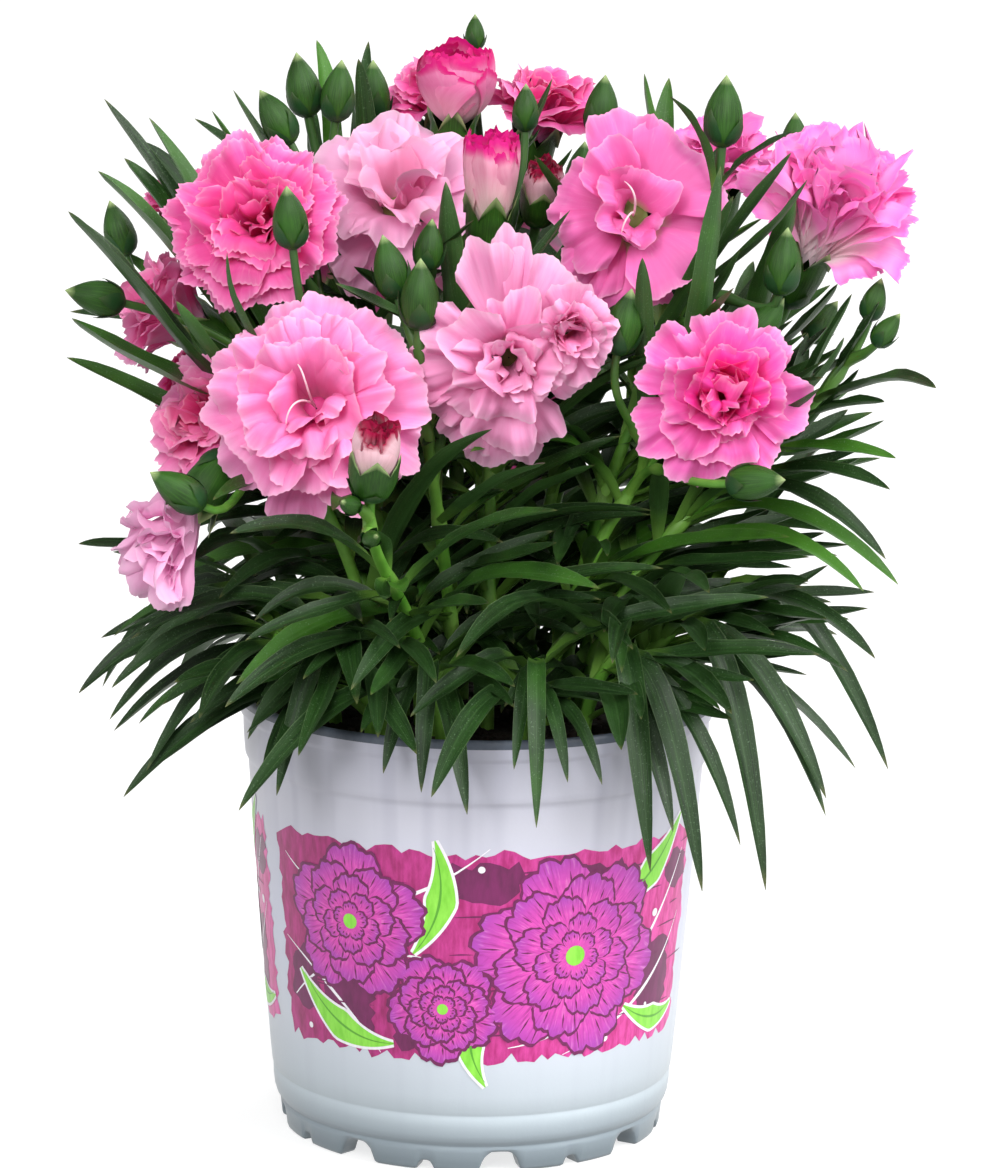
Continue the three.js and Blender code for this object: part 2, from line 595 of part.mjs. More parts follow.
function mainPath(stem) {
  const foot = new THREE.Vector3(stem.root[0], stem.root[1], SOIL_Z - 1);
  const bloom = bloomNamed(stem.bloom);
  const end = bloom ? bloomPlaces(bloom).base : stem.crown ? budBase(stem.crown) : vector(stem.end);
  const toward = bloom ? bloom.facing : stem.crown ? stem.crown.facing : stem.toward;
  const span = foot.distanceTo(end);
  return new THREE.CubicBezierCurve3(
    foot,
    foot.clone().add(new THREE.Vector3(0, 0, 0.42 * span)),
    end.clone().addScaledVector(vector(toward).normalize(), -0.28 * span),
    end,
  );
}

function sidePath(main, from, end, axis) {
  const start = main.getPoint(from);
  const span = start.distanceTo(end);
  return new THREE.CubicBezierCurve3(
    start,
    start.clone().addScaledVector(main.getTangent(from), 0.35 * span),
    end.clone().addScaledVector(axis, -0.35 * span),
    end,
  );
}

function tubeRings(path, count, sides, startRadius, endRadius) {
  const level = levelAcross(path.v0, path.v3);
  return Array.from({ length: count }, (_, r) => {
    const share = r / (count - 1);
    const radius = startRadius + (endRadius - startRadius) * share;
    return ringAt(path.getPoint(share), frameOnPath(path, share, level), radius, sides);
  });
}

function endFrame(path) {
  return frameOnPath(path, 1, levelAcross(path.v0, path.v3));
}

// A blade is a curve of three points, root, bend and tip, with the level way across it.
function leafWidth(blade) {
  return 3 + 0.055 * blade.length;
}

function bentBlade(blade, [turn, lift]) {
  const swing = (point) => point.clone().sub(blade.root)
    .applyAxisAngle(new THREE.Vector3(0, 0, 1), radians(turn))
    .add(blade.root);
  const bend = swing(blade.bend);
  const tip = swing(blade.tip);
  bend.z += lift * blade.length * 0.4;
  tip.z += lift * blade.length;
  return { ...blade, bend, tip };
}

function leafBody(blade, from = 0) {
  const path = new THREE.QuadraticBezierCurve3(blade.root, blade.bend, blade.tip);
  const width = leafWidth(blade);
  const across = levelAcross(blade.root, blade.tip);
  const rows = from > 0 ? [{ share: from, width: 0.8, keel: 1 }, ...LEAF_ROWS.slice(1)] : LEAF_ROWS;
  const rings = rows.map((row) => {
    const frame = frameOnPath(path, row.share, across);
    const centre = path.getPoint(row.share);
    const half = row.width * width / 2;
    const roll = blade.twist * row.share;
    const right = outward(frame, roll);
    const keel = outward(frame, roll + Math.PI / 2);
    return [
      centre.clone().addScaledVector(right, half),
      centre.clone().addScaledVector(keel, LEAF_KEEL * row.keel),
      centre.clone().addScaledVector(right, -half),
    ];
  });
  rings.push([blade.tip]);
  return ringBody(rings);
}

function reachingBlade(main, from, tip, random) {
  const root = main.getPoint(from);
  const end = vector(tip);
  const length = root.distanceTo(end);
  const bend = root.clone().lerp(end, 0.5);
  bend.z = end.z < root.z ? root.z + 0.3 * length : bend.z + 0.12 * length;
  return { root, bend, tip: end, length, twist: (random() - 0.5) * 0.7 };
}

function pairedBlade(main, share, angle, height, stem, random) {
  const lean = levelAcross(main.v0, main.v3);
  const frame = frameOnPath(main, share, lean);
  const out = outward(frame, angle);
  const root = main.getPoint(share).addScaledVector(out, 0.35);
  const open = 0.55 + 0.35 * random();
  const first = frame.axis.clone().multiplyScalar(Math.cos(open)).addScaledVector(out, Math.sin(open));
  const short = isTall(stem) ? 0.42 : 0.1;
  const length = (86 - 86 * short * height) * (0.86 + 0.24 * random());
  const bend = root.clone().addScaledVector(first, 0.45 * length);
  const level = new THREE.Vector3(first.x, first.y, 0).normalize();
  const fall = radians(THREE.MathUtils.lerp(-34, 48, height) + RIGHT_LEAF_LIFT * level.x + 24 * (random() - 0.5));
  const second = level.multiplyScalar(Math.cos(fall)).add(new THREE.Vector3(0, 0, Math.sin(fall)));
  const tip = bend.clone().addScaledVector(second, 0.58 * length);
  const near = Math.hypot(root.x, root.y);
  const far = Math.hypot(tip.x, tip.y);
  const kept = far > CANOPY_RADIUS ? Math.max((CANOPY_RADIUS - near) / (far - near), 0.3) : 1;
  bend.lerp(root, 1 - kept);
  tip.lerp(root, 1 - kept);
  return { root, bend, tip, length: length * kept, twist: (random() - 0.5) * 0.9 };
}

// Every leaf that a stem may carry: the reaching ones first, then opposite pairs, each turned a quarter.
function stemBlades(stem, number) {
  const main = mainPath(stem);
  const random = draws(5000 + 100 * number);
  const blades = [];
  const tips = stem.tips || [];
  tips.forEach((tip, i) => {
    const share = isTall(stem) ? 0.78 - 0.5 * (i / Math.max(tips.length, 1)) : 0.9 - 0.16 * i;
    blades.push(reachingBlade(main, share, tip, random));
  });
  const length = main.getLength();
  const step = isTall(stem) ? 30 : 14;
  const last = isTall(stem) ? length - 26 : length - 3;
  let turn = Math.PI / STEM_SIDES;
  for (let along = isTall(stem) ? 2 * FIRST_LEAF_Z : FIRST_LEAF_Z; along < last; along += step) {
    const share = along / length;
    for (const half of [0, Math.PI]) {
      const angle = turn + half + 0.24 * (random() - 0.5);
      blades.push(pairedBlade(main, share, angle, along / 140, stem, random));
    }
    turn += Math.PI / 2;
  }
  return blades;
}

function stemFrame(stem) {
  const main = mainPath(stem);
  const rings = tubeRings(main, isTall(stem) ? 6 : 3, STEM_SIDES, STEM_FOOT_RADIUS, STEM_TOP_RADIUS);
  const foot = main.v0.clone().setZ(SOIL_Z - STEM_DEPTH);
  const footFrame = frameOnPath(main, 0, levelAcross(main.v0, main.v3));
  rings.unshift(ringAt(foot, footFrame, STEM_FOOT_RADIUS, STEM_SIDES));
  if (stem.bloom) rings.push(...calyxRings(bloomNamed(stem.bloom), endFrame(main)));
  else if (stem.crown) rings.push(...budRings(stem.crown, endFrame(main)));
  else rings.push([main.v3.clone().addScaledVector(main.getTangent(1), 3)]);
  const parts = [ringBody(rings)];
  for (const side of stem.sides || []) {
    const path = sideStem(main, side);
    const twig = tubeRings(path, 4, STEM_SIDES, STEM_TOP_RADIUS - 0.1, STEM_TOP_RADIUS);
    parts.push(ringBody([...twig, ...calyxRings(bloomNamed(side.bloom), endFrame(path))]));
  }
  for (const bud of stem.buds || []) {
    const path = sidePath(main, bud.from, budBase(bud), vector(bud.facing).normalize());
    const twig = tubeRings(path, 3, TWIG_SIDES, TWIG_RADIUS, TWIG_RADIUS);
    parts.push(ringBody([...twig, ...budRings(bud, endFrame(path))]));
  }
  return parts;
}

function sideStem(main, side) {
  const bloom = bloomNamed(side.bloom);
  const { axis, base } = bloomPlaces(bloom);
  return sidePath(main, side.from, base, axis);
}

// Each bloom is turned with the stem that carries it, so that its seat fits the cup of its calyx.
const BLOOM_FRAMES = new Map();
for (const stem of STEMS) {
  const main = mainPath(stem);
  if (stem.bloom) BLOOM_FRAMES.set(stem.bloom, endFrame(main));
  for (const side of stem.sides || []) BLOOM_FRAMES.set(side.bloom, endFrame(sideStem(main, side)));
}

// ---- Fitting the pieces together without touching ----

function boxesMeet(a, b, gap) {
  return [0, 1, 2].every((k) => a.min[k] < b.max[k] + gap && b.min[k] < a.max[k] + gap);
}

function isClear(solid, others) {
  const box = solid.boundingBox();
  return others.every(
    (other) => !boxesMeet(box, other.box, CLEARANCE) || solid.minGap(other.solid, CLEARANCE) >= CLEARANCE);
}

const withBox = (solid, node) => ({ solid, node, box: solid.boundingBox() });

// Leaves of one stem may meet where they clasp it, and nowhere further out.
const CLASP_SHARE = 0.22;

function fitLeaves(placed) {
  const outer = STEMS.map((stem) => placed.filter(({ node }) => node === stem.name));
  const nodes = outer.map((parts) => parts.map(({ solid }) => solid));
  const plans = STEMS.map((stem, number) => stemBlades(stem, number));
  const most = Math.max(...plans.map((plan) => plan.length));
  for (let turn = 0; turn < most; turn += 1) {
    plans.forEach((plan, number) => {
      if (turn >= plan.length) return;
      const name = STEMS[number].name;
      const others = placed.filter(({ node }) => node !== name);
      for (const way of LEAF_BENDS) {
        const blade = bentBlade(plan[turn], way);
        const solid = leafBody(blade);
        const free = withBox(leafBody(blade, CLASP_SHARE), name);
        if (isClear(solid, others) && isClear(free.solid, outer[number])) {
          placed.push(withBox(solid, name));
          nodes[number].push(solid);
          outer[number].push(free);
          return;
        }
      }
    });
  }
  return nodes;
}

// ---- The whole plant ----

function finish(colour, roughness) {
  return new THREE.MeshStandardMaterial({ color: colour, roughness, metalness: 0 });
}

function named(name, solid, material) {
  const mesh = new THREE.Mesh(geometryOf(solid), material);
  mesh.name = name;
  return mesh;
}

const potSolid = makePot();
const soilSolid = makeSoil();
const bloomSolids = BLOOMS.map(makeBloom);
const placed = [withBox(potSolid, "pot"), withBox(soilSolid, "soil")];
BLOOMS.forEach((bloom, i) => placed.push(withBox(bloomSolids[i], bloom.name)));
STEMS.forEach((stem) => stemFrame(stem).forEach((solid) => placed.push(withBox(solid, stem.name))));
const stemParts = fitLeaves(placed);

const plant = new THREE.Group();
plant.name = "dianthus_plant";
plant.add(named("pot", potSolid, finish(COLOURS.pot, 0.35)));
plant.add(named("soil", soilSolid, finish(COLOURS.soil, 0.95)));
const foliage = finish(COLOURS.foliage, 0.55);
STEMS.forEach((stem, i) => {
  const fused = thinned(wasm.Manifold.union(stemParts[i]), FUSED_TOLERANCE);
  plant.add(named(stem.name, fused, foliage));
});
BLOOMS.forEach((bloom, i) => plant.add(named(bloom.name, bloomSolids[i], finish(COLOURS[bloom.tint], 0.6))));

export default plant;
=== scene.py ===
# A potted carnation dressed for the camera: fine leaves, buds, ruffled blooms, soil and a printed pot.
# Sizes are in millimetres until a piece is made, and in metres on every Blender object.
import math
from collections import namedtuple

import bpy
import numpy as np
from mathutils import Matrix, Vector, geometry, kdtree


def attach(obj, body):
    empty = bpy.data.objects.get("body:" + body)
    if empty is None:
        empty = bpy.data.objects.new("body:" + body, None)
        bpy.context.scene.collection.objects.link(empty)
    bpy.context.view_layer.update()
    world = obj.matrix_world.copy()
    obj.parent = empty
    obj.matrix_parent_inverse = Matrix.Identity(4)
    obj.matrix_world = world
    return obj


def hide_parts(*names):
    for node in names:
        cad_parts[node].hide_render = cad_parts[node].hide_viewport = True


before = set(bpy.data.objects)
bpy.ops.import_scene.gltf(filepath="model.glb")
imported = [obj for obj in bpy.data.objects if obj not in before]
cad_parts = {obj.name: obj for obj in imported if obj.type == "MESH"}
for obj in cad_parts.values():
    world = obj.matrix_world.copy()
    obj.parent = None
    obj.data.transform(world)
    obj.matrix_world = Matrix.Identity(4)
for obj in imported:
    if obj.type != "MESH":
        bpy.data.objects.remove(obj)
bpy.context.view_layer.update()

MM = 0.001

# ---- The plant's plan: the same places as the solids have ----

SOIL_Z = 116
STEM_DEPTH = 13
RIM_Z = 122
RIM_RADIUS = 65
FLOOR_Z = 7
FLOOR_TOP_Z = 10
DRAIN_RADIUS = 5
DRAIN_CIRCLE = 36
STEM_FOOT_RADIUS = 1.9
STEM_TOP_RADIUS = 1.4
TWIG_RADIUS = 1.1
CALYX_LENGTH = 18
CALYX_RADIUS = 6.2
TIP_CALYX_LENGTH = 13
LONGEST_LEAF = 86
CANOPY_RADIUS = 110
RIGHT_LEAF_LIFT = 23
FIRST_LEAF = 14
TALL_LEAF_STEP = 30
SHORT_LEAF_STEP = 14
PLANT_TOP = 300

# Where the seeded draws start: the leaves of the solids, the added leaves, the stems, the blooms, the soil.
LEAF_SEED, FILLING_SEED, SEED_STEP = 5000, 9000, 100
STEM_SEED, BLOOM_SEED, SOIL_SEED = 7000, 3000, 404

Bloom = namedtuple("Bloom", "name form tint radius at facing kind palette tooth")
Bud = namedtuple("Bud", "at facing length share", defaults=[None])
Stem = namedtuple("Stem", "name root bloom crown end toward buds sides tips",
                  defaults=[None] * 4 + [()] * 3)
Blade = namedtuple("Blade", "root bend tip length twist")

# Each bloom: its form, tint, radius, middle and facing, then the rule of its petals, its palette and how
# deep its rims are toothed.
BLOOMS = [
    Bloom("bloom_front_left", "full", "pink", 29, (-44, -75, 214), (-0.15, -0.9, 0.4),
          "full", "rose", 0.25),
    Bloom("bloom_front_centre", "loose", "pale", 25, (8, -70, 223), (0.1, -0.97, -0.05),
          "full", "salmon", 0.2),
    Bloom("bloom_front_right", "full", "pink", 22.5, (62, -72, 216), (0.1, -0.95, 0.2),
          "full", "hot_heart", 0.3),
    Bloom("bloom_left_upper", "full", "hot", 25, (-59, -38, 255.5), (-0.3, -0.8, 0.5), "full", "hot", 0.48),
    Bloom("bloom_centre_pale", "full", "pale", 26, (-24, 0, 262), (-0.1, -0.65, 0.75),
          "full", "pale", 0.06),
    Bloom("bloom_right_upper", "loose", "pink", 24, (40, -35, 259), (0.05, -0.95, 0.3),
          "full", "clear", 0.2),
    Bloom("bloom_far_right", "fan", "pink", 27, (92, -12, 256), (0.3, -0.35, 0.85), "fan", "claw", 0.45),
    Bloom("bloom_behind_right", "fan", "pink", 17, (66, 30, 266), (0.1, -0.3, 0.95), "fan", "claw", 0.3),
    Bloom("bloom_top", "cup", "hot", 10, (-8, 22, 287), (0.05, -0.15, 1), "cup", "cup", 0.5),
    Bloom("bloom_top_behind", "fan", "hot", 15, (-14, 52, 281), (-0.3, -0.2, 0.93), "fan", "hot", 0.3),
    Bloom("bloom_top_right", "fan", "hot", 17, (16, 37, 279), (0.2, -0.2, 0.95), "fan", "hot", 0.3),
    Bloom("bloom_centre_half_open", "cup", "pink", 7.5, (2, -25, 266), (0.05, -0.2, 1), "bud", "edge", 0.6),
    Bloom("bloom_centre_opening", "tip", "hot", 5, (16, -15, 265), (0.1, -0.6, 0.8), "tip", "crimson", 0.5),
    Bloom("bloom_left_side", "fan", "hot", 19, (-71, -28, 202), (-0.6, -0.65, 0.35), "fan", "deep", 0.35),
    Bloom("bloom_left_drooping", "hanging", "mauve", 17, (-79, -64, 176), (-0.5, -0.4, -0.77),
          "hanging", "mauve", 0.18),
    Bloom("bloom_left_away", "fan", "mauve", 19, (-85, 0, 226), (-0.85, 0.1, 0.5), "fan", "rose", 0.3),
    Bloom("bloom_left_back", "fan", "pink", 12, (-83, 22, 254), (-0.3, 0, 0.95), "fan", "hot", 0.3),
    Bloom("bloom_front_opening", "tip", "hot", 6, (-26, -100, 207), (0.1, -0.45, 0.88),
          "tip", "crimson", 0.5),
    Bloom("bloom_rear_left", "full", "pink", 22, (-46, 66, 226), (-0.4, 0.75, 0.5), "full", "clear", 0.3),
    Bloom("bloom_rear_far_left", "full", "hot", 16, (-82, 46, 200), (-0.75, 0.5, 0.4), "full", "hot", 0.4),
    Bloom("bloom_rear_centre", "full", "pale", 23, (2, 82, 234), (0, 0.85, 0.5), "full", "pale", 0.15),
    Bloom("bloom_rear_low", "full", "pink", 19, (14, 92, 184), (0.2, 0.95, 0.2), "full", "hot_heart", 0.3),
    Bloom("bloom_rear_right", "full", "hot", 22, (50, 66, 228), (0.4, 0.75, 0.5), "full", "rose", 0.35),
    Bloom("bloom_rear_far_right", "full", "pink", 16, (80, 54, 200), (0.75, 0.5, 0.4),
          "full", "clear", 0.3),
]

# Each stem: its name and root, and what is at its end: a bloom, a closed bud, or for a leafy shoot the place
# and direction of its end. Then the blooms and buds on its twigs, each with the share of the stem at which
# its twig starts, and the tips of the leaves that reach out to a given place.
STEMS = [
    Stem("stem_front_left", (-15, -20), bloom="bloom_front_left",
         buds=[Bud((-50, -60, 259), (-0.1, -0.2, 1), 17, 0.7)]),
    Stem("stem_front_centre", (3, -23), bloom="bloom_front_centre"),
    Stem("stem_front_right", (19, -18), bloom="bloom_front_right",
         buds=[Bud((37, -60, 233), (0.2, -0.1, 1), 18, 0.55),
             Bud((71, -84, 195.5), (0.8, -0.5, 0.15), 17, 0.5)]),
    Stem("stem_left_upper", (-20, -7), bloom="bloom_left_upper",
         buds=[Bud((-57, 17, 277), (-0.5, 0, 0.85), 17, 0.75)], tips=[(-73, -8, 281)]),
    Stem("stem_centre_pale", (-9, 1), bloom="bloom_centre_pale"),
    Stem("stem_right_upper", (13, -6), bloom="bloom_right_upper"),
    Stem("stem_far_right", (28, 2), bloom="bloom_far_right", buds=[Bud((86, 39, 271), (0, 0, 1), 14, 0.7)]),
    Stem("stem_behind_right", (20, 11), bloom="bloom_behind_right",
         buds=[Bud((32, 20, 281), (0.1, 0, 1), 17, 0.6)], tips=[(44, 41, 288), (67, 50, 285)]),
    Stem("stem_top", (-4, 10), bloom="bloom_top", sides=[("bloom_top_behind", 0.6)]),
    Stem("stem_top_right", (5, 17), bloom="bloom_top_right", buds=[Bud((-3, 38, 299), (0, 0, 1), 10, 0.6)]),
    Stem("stem_centre_half_open", (2, -9), bloom="bloom_centre_half_open",
         sides=[("bloom_centre_opening", 0.72)], buds=[Bud((11, 2, 282), (0, 0, 1), 13, 0.7)]),
    Stem("stem_left_side", (-26, -16), bloom="bloom_left_side", tips=[(-110, -38, 256), (-106, -36, 215)]),
    Stem("stem_left_drooping", (-25, -31), bloom="bloom_left_drooping",
         buds=[Bud((-78, -76, 190), (-0.8, -0.2, 0.55), 17, 0.7)]),
    Stem("stem_left_away", (-29, 3), bloom="bloom_left_away", sides=[("bloom_left_back", 0.75)],
         buds=[Bud((-103, -27, 233), (-0.9, -0.4, 0.25), 17, 0.7),
             Bud((-101, 32, 244), (-0.3, 0.1, 0.95), 16, 0.6)],
         tips=[(-103, 8, 268), (-91, 10, 277), (-109, -22, 227)]),
    Stem("stem_front_opening", (-12, -35), bloom="bloom_front_opening",
         buds=[Bud((-33, -100, 191), (-0.4, -0.85, 0.3), 9, 0.9),
             Bud((-27, -98, 182), (0.3, -0.85, 0.3), 8, 0.85)]),
    Stem("stem_buds_top_left", (-13, 19), crown=Bud((-50, 26, 285), (-0.2, 0, 1), 18),
         buds=[Bud((-40, 21, 284), (0.1, 0, 1), 17, 0.8), Bud((-31, 38, 282), (0, 0, 1), 18, 0.7)],
         tips=[(-54, 34, 296), (-35, 24, 302), (-68, 30, 284)]),
    Stem("stem_buds_right", (24, -8), crown=Bud((63, -30, 285), (0.05, 0, 1), 19),
         buds=[Bud((79, -42, 247), (0.1, 0, 1), 18, 0.7), Bud((75, -40, 231), (0.6, 0, 0.8), 15, 0.65)],
         tips=[(50, -50, 284), (80, -46, 276), (65, -50, 270)]),
    Stem("stem_buds_middle", (-6, -25), crown=Bud((-16, -64, 240), (0, -0.1, 1), 19),
         buds=[Bud((-24, -56, 246), (-0.25, 0, 1), 17, 0.9), Bud((-14, -42, 250), (0.1, 0, 1), 14, 0.8)]),
    Stem("stem_buds_far_right", (29, -14), crown=Bud((105, -18, 234), (0.3, 0, 1), 12),
         buds=[Bud((108, -26, 227), (0.6, 0, 0.8), 11, 0.88)],
         tips=[(117, -75, 219), (106, -48, 211), (110, -42, 195), (108, -50, 188), (108, -43, 168),
             (112, -37, 160), (92, -60, 160)]),
    Stem("stem_rear_left", (-13, 30), bloom="bloom_rear_left", sides=[("bloom_rear_far_left", 0.6)],
         buds=[Bud((-20, 80, 258), (0.1, 0.3, 1), 16, 0.65)], tips=[(-118, 78, 214)]),
    Stem("stem_rear_right", (15, 26), bloom="bloom_rear_right", sides=[("bloom_rear_far_right", 0.5)],
         buds=[Bud((28, 84, 256), (0.1, 0.3, 1), 17, 0.7), Bud((94, 24, 222), (0.6, 0.1, 0.8), 14, 0.55)]),
    Stem("stem_rear_centre", (1, 32), bloom="bloom_rear_centre", sides=[("bloom_rear_low", 0.6)],
         buds=[Bud((-20, 96, 206), (-0.4, 0.6, 0.7), 15, 0.65)], tips=[(-8, 110, 226)]),
    Stem("shoot_front_far_left", (-28, -34), end=(-38, -46, 142), toward=(-0.5, -0.6, 0.6),
         tips=[(-52, -71, 108), (-46, -73, 126), (-60, -62, 121), (-74, -60, 124)]),
    Stem("shoot_front_left", (-9, -45), end=(-13, -54, 141), toward=(-0.1, -0.7, 0.7),
         tips=[(-14, -82, 112), (-24, -78, 116), (-2, -85, 107)]),
    Stem("shoot_front_right", (12, -43), end=(16, -53, 141), toward=(0.2, -0.7, 0.7),
         tips=[(16, -86, 104), (10, -80, 118), (24, -81, 115), (33, -79, 114)]),
    Stem("shoot_front_far_right", (29, -33), end=(39, -44, 143), toward=(0.5, -0.6, 0.6),
         tips=[(46, -79, 91), (60, -72, 84), (68, -68, 95), (52, -72, 100)]),
    Stem("shoot_right_low", (39, -20), end=(54, -30, 146), toward=(0.7, -0.4, 0.6),
         tips=[(77, -66, 83), (88, -62, 103), (93, -56, 101), (100, -47, 111)]),
    Stem("shoot_right", (44, -3), end=(66, -6, 152), toward=(0.9, -0.1, 0.5),
         tips=[(112, -22, 106), (106, -43, 141), (102, -30, 158)]),
    Stem("shoot_left_low", (-38, -21), end=(-55, -30, 143), toward=(-0.8, -0.4, 0.5),
         tips=[(-97, -47, 131), (-98, -41, 121), (-87, -57, 111), (-90, -60, 138)]),
    Stem("shoot_left", (-43, 0), end=(-63, 4, 151), toward=(-0.9, 0.1, 0.5),
         tips=[(-107, -32, 167), (-104, 14, 118), (-110, 22, 152)]),
    Stem("shoot_rear_left", (-32, 32), end=(-46, 46, 145), toward=(-0.6, 0.6, 0.6)),
    Stem("shoot_rear", (2, 46), end=(4, 62, 146), toward=(0, 0.8, 0.6)),
    Stem("shoot_rear_right", (34, 30), end=(50, 44, 147), toward=(0.7, 0.6, 0.6)),
]

# How far a bloom's middle lies above the mouth of its calyx, as a share of its radius.
DEPTHS = {"full": 0.38, "loose": 0.38, "fan": 0.45, "hanging": 0.5, "cup": 1, "tip": 0.8}

# The bends that a leaf may have taken to keep clear of its neighbours: degrees of turn, and lift.
LEAF_BENDS = [
    (0, 0), (4, 0), (-4, 0), (0, 0.06), (0, -0.06), (9, 0.04), (-9, 0.04), (15, 0), (-15, 0), (0, 0.16),
    (12, 0.16), (-12, 0.16), (24, 0.08), (-24, 0.08), (20, -0.12), (-20, -0.12), (34, 0), (-34, 0),
    (0, 0.3), (30, 0.25), (-30, 0.25), (0, -0.25), (48, 0.1), (-48, 0.1),
]

# How near a solid's point a leaf's tip must lie to be that leaf.
SAME_POINT = 0.08

# ---- Numbers, curves and frames ----

WORD = 0xFFFFFFFF


def draws(seed):
    """A repeatable stream of numbers from 0 to 1."""
    state = [seed & WORD]

    def draw():
        state[0] = (state[0] + 0x6D2B79F5) & WORD
        t = ((state[0] ^ (state[0] >> 15)) * (state[0] | 1)) & WORD
        t = ((t + (((t ^ (t >> 7)) * (t | 61)) & WORD)) & WORD) ^ t
        return ((t ^ (t >> 14)) & WORD) / (WORD + 1)

    return draw


def vec(values):
    return np.array(values, dtype=float)


def unit(v):
    return v / np.linalg.norm(v)


def smooth(low, high, x):
    t = np.clip((x - low) / (high - low), 0, 1)
    return t * t * (3 - 2 * t)


def turns(count):
    return np.arange(count) * 2 * math.pi / count


def outward(up, side, angle):
    """The direction at an angle from up towards side, or one for each of many angles."""
    angle = np.asarray(angle)[..., None]
    return up * np.cos(angle) + side * np.sin(angle)


class Curve:
    """A Bezier curve of three or four points."""

    def __init__(self, *points):
        self.points = [vec(p) for p in points]
        self.start = self.points[0]
        self.end = self.points[-1]

    def at(self, t):
        t = np.asarray(t, dtype=float)[..., None]
        p = self.points
        u = 1 - t
        if len(p) == 3:
            return u * u * p[0] + 2 * u * t * p[1] + t * t * p[2]
        return u**3 * p[0] + 3 * u * u * t * p[1] + 3 * u * t * t * p[2] + t**3 * p[3]

    def along(self, t):
        step = 0.0001
        t = np.asarray(t, dtype=float)
        way = self.at(np.minimum(t + step, 1)) - self.at(np.maximum(t - step, 0))
        return way / np.linalg.norm(way, axis=-1, keepdims=True)

    def length(self):
        points = self.at(np.linspace(0, 1, 201))
        return float(np.linalg.norm(np.diff(points, axis=0), axis=1).sum())


def level_across(start, end):
    """A level direction across the way from start to end."""
    lean = vec([end[0] - start[0], end[1] - start[1], 0])
    if np.linalg.norm(lean) < 1:
        return vec([1, 0, 0])
    lean = unit(lean)
    return vec([-lean[1], lean[0], 0])


def frames(curve, t, level):
    """Axis, up and side at each share of a curve, as three arrays."""
    axis = curve.along(t)
    up = level - axis * (axis @ level)[..., None]
    up = up / np.linalg.norm(up, axis=-1, keepdims=True)
    return axis, up, np.cross(axis, up)


def end_frame(curve):
    return frames(curve, 1.0, level_across(curve.start, curve.end))


# ---- Places, as the solids have them ----

BLOOM = {bloom.name: bloom for bloom in BLOOMS}


def is_tall(stem):
    return bool(stem.bloom or stem.crown)


def leaf_steps(stem):
    """How far up a stem its first pair of leaves stands, and the way from pair to pair."""
    return (2 * FIRST_LEAF, TALL_LEAF_STEP) if is_tall(stem) else (FIRST_LEAF, SHORT_LEAF_STEP)


def calyx_size(bloom):
    if bloom.form == "tip":
        return TIP_CALYX_LENGTH, bloom.radius + 0.6
    return CALYX_LENGTH, CALYX_RADIUS


def bloom_places(bloom):
    """A bloom's axis, and the middles of its calyx's mouth and base."""
    axis = unit(vec(bloom.facing))
    mouth = vec(bloom.at) - axis * DEPTHS[bloom.form] * bloom.radius
    return axis, mouth, mouth - axis * calyx_size(bloom)[0]


def bud_base(bud):
    return vec(bud.at) - unit(vec(bud.facing)) * bud.length / 2


def main_path(stem):
    """The curve of a stem, from the soil to the base of what it carries."""
    foot = vec([*stem.root, SOIL_Z - 1])
    if stem.bloom:
        bloom = BLOOM[stem.bloom]
        end, toward = bloom_places(bloom)[2], bloom.facing
    elif stem.crown:
        end, toward = bud_base(stem.crown), stem.crown.facing
    else:
        end, toward = vec(stem.end), stem.toward
    span = np.linalg.norm(end - foot)
    return Curve(foot, foot + vec([0, 0, 0.42 * span]), end - unit(vec(toward)) * 0.28 * span, end)


def side_path(main, start_share, end, axis):
    """The curve of a twig, from a share of the stem's length to the base of what it carries."""
    start = main.at(start_share)
    span = np.linalg.norm(end - start)
    return Curve(start, start + main.along(start_share) * 0.35 * span, end - axis * 0.35 * span, end)


def reaching_blade(main, share, tip, draw):
    """A leaf that arches from the stem to a tip."""
    root, end = main.at(share), vec(tip)
    length = np.linalg.norm(end - root)
    bend = (root + end) / 2
    bend[2] = root[2] + 0.3 * length if end[2] < root[2] else bend[2] + 0.12 * length
    return Blade(root, bend, end, length, (draw() - 0.5) * 0.7)


def paired_blade(main, along, angle, tall, draw):
    """A leaf of a pair: shorter and steeper further up the plant, and kept inside the canopy."""
    share, height = along / main.length(), along / 140
    axis, up, side = frames(main, share, level_across(main.start, main.end))
    out = outward(up, side, angle)
    root = main.at(share) + out * 0.35
    first = outward(axis, out, 0.55 + 0.35 * draw())
    shorter = 0.42 if tall else 0.1
    length = LONGEST_LEAF * (1 - shorter * height) * (0.86 + 0.24 * draw())
    bend = root + first * 0.45 * length
    level = unit(vec([first[0], first[1], 0]))
    fall = math.radians(-34 + 82 * height + RIGHT_LEAF_LIFT * level[0] + 24 * (draw() - 0.5))
    tip = bend + outward(level, vec([0, 0, 1]), fall) * 0.58 * length
    near, far = math.hypot(root[0], root[1]), math.hypot(tip[0], tip[1])
    kept = max((CANOPY_RADIUS - near) / (far - near), 0.3) if far > CANOPY_RADIUS else 1
    return Blade(root, root + (bend - root) * kept, root + (tip - root) * kept, length * kept,
                 (draw() - 0.5) * 0.9)


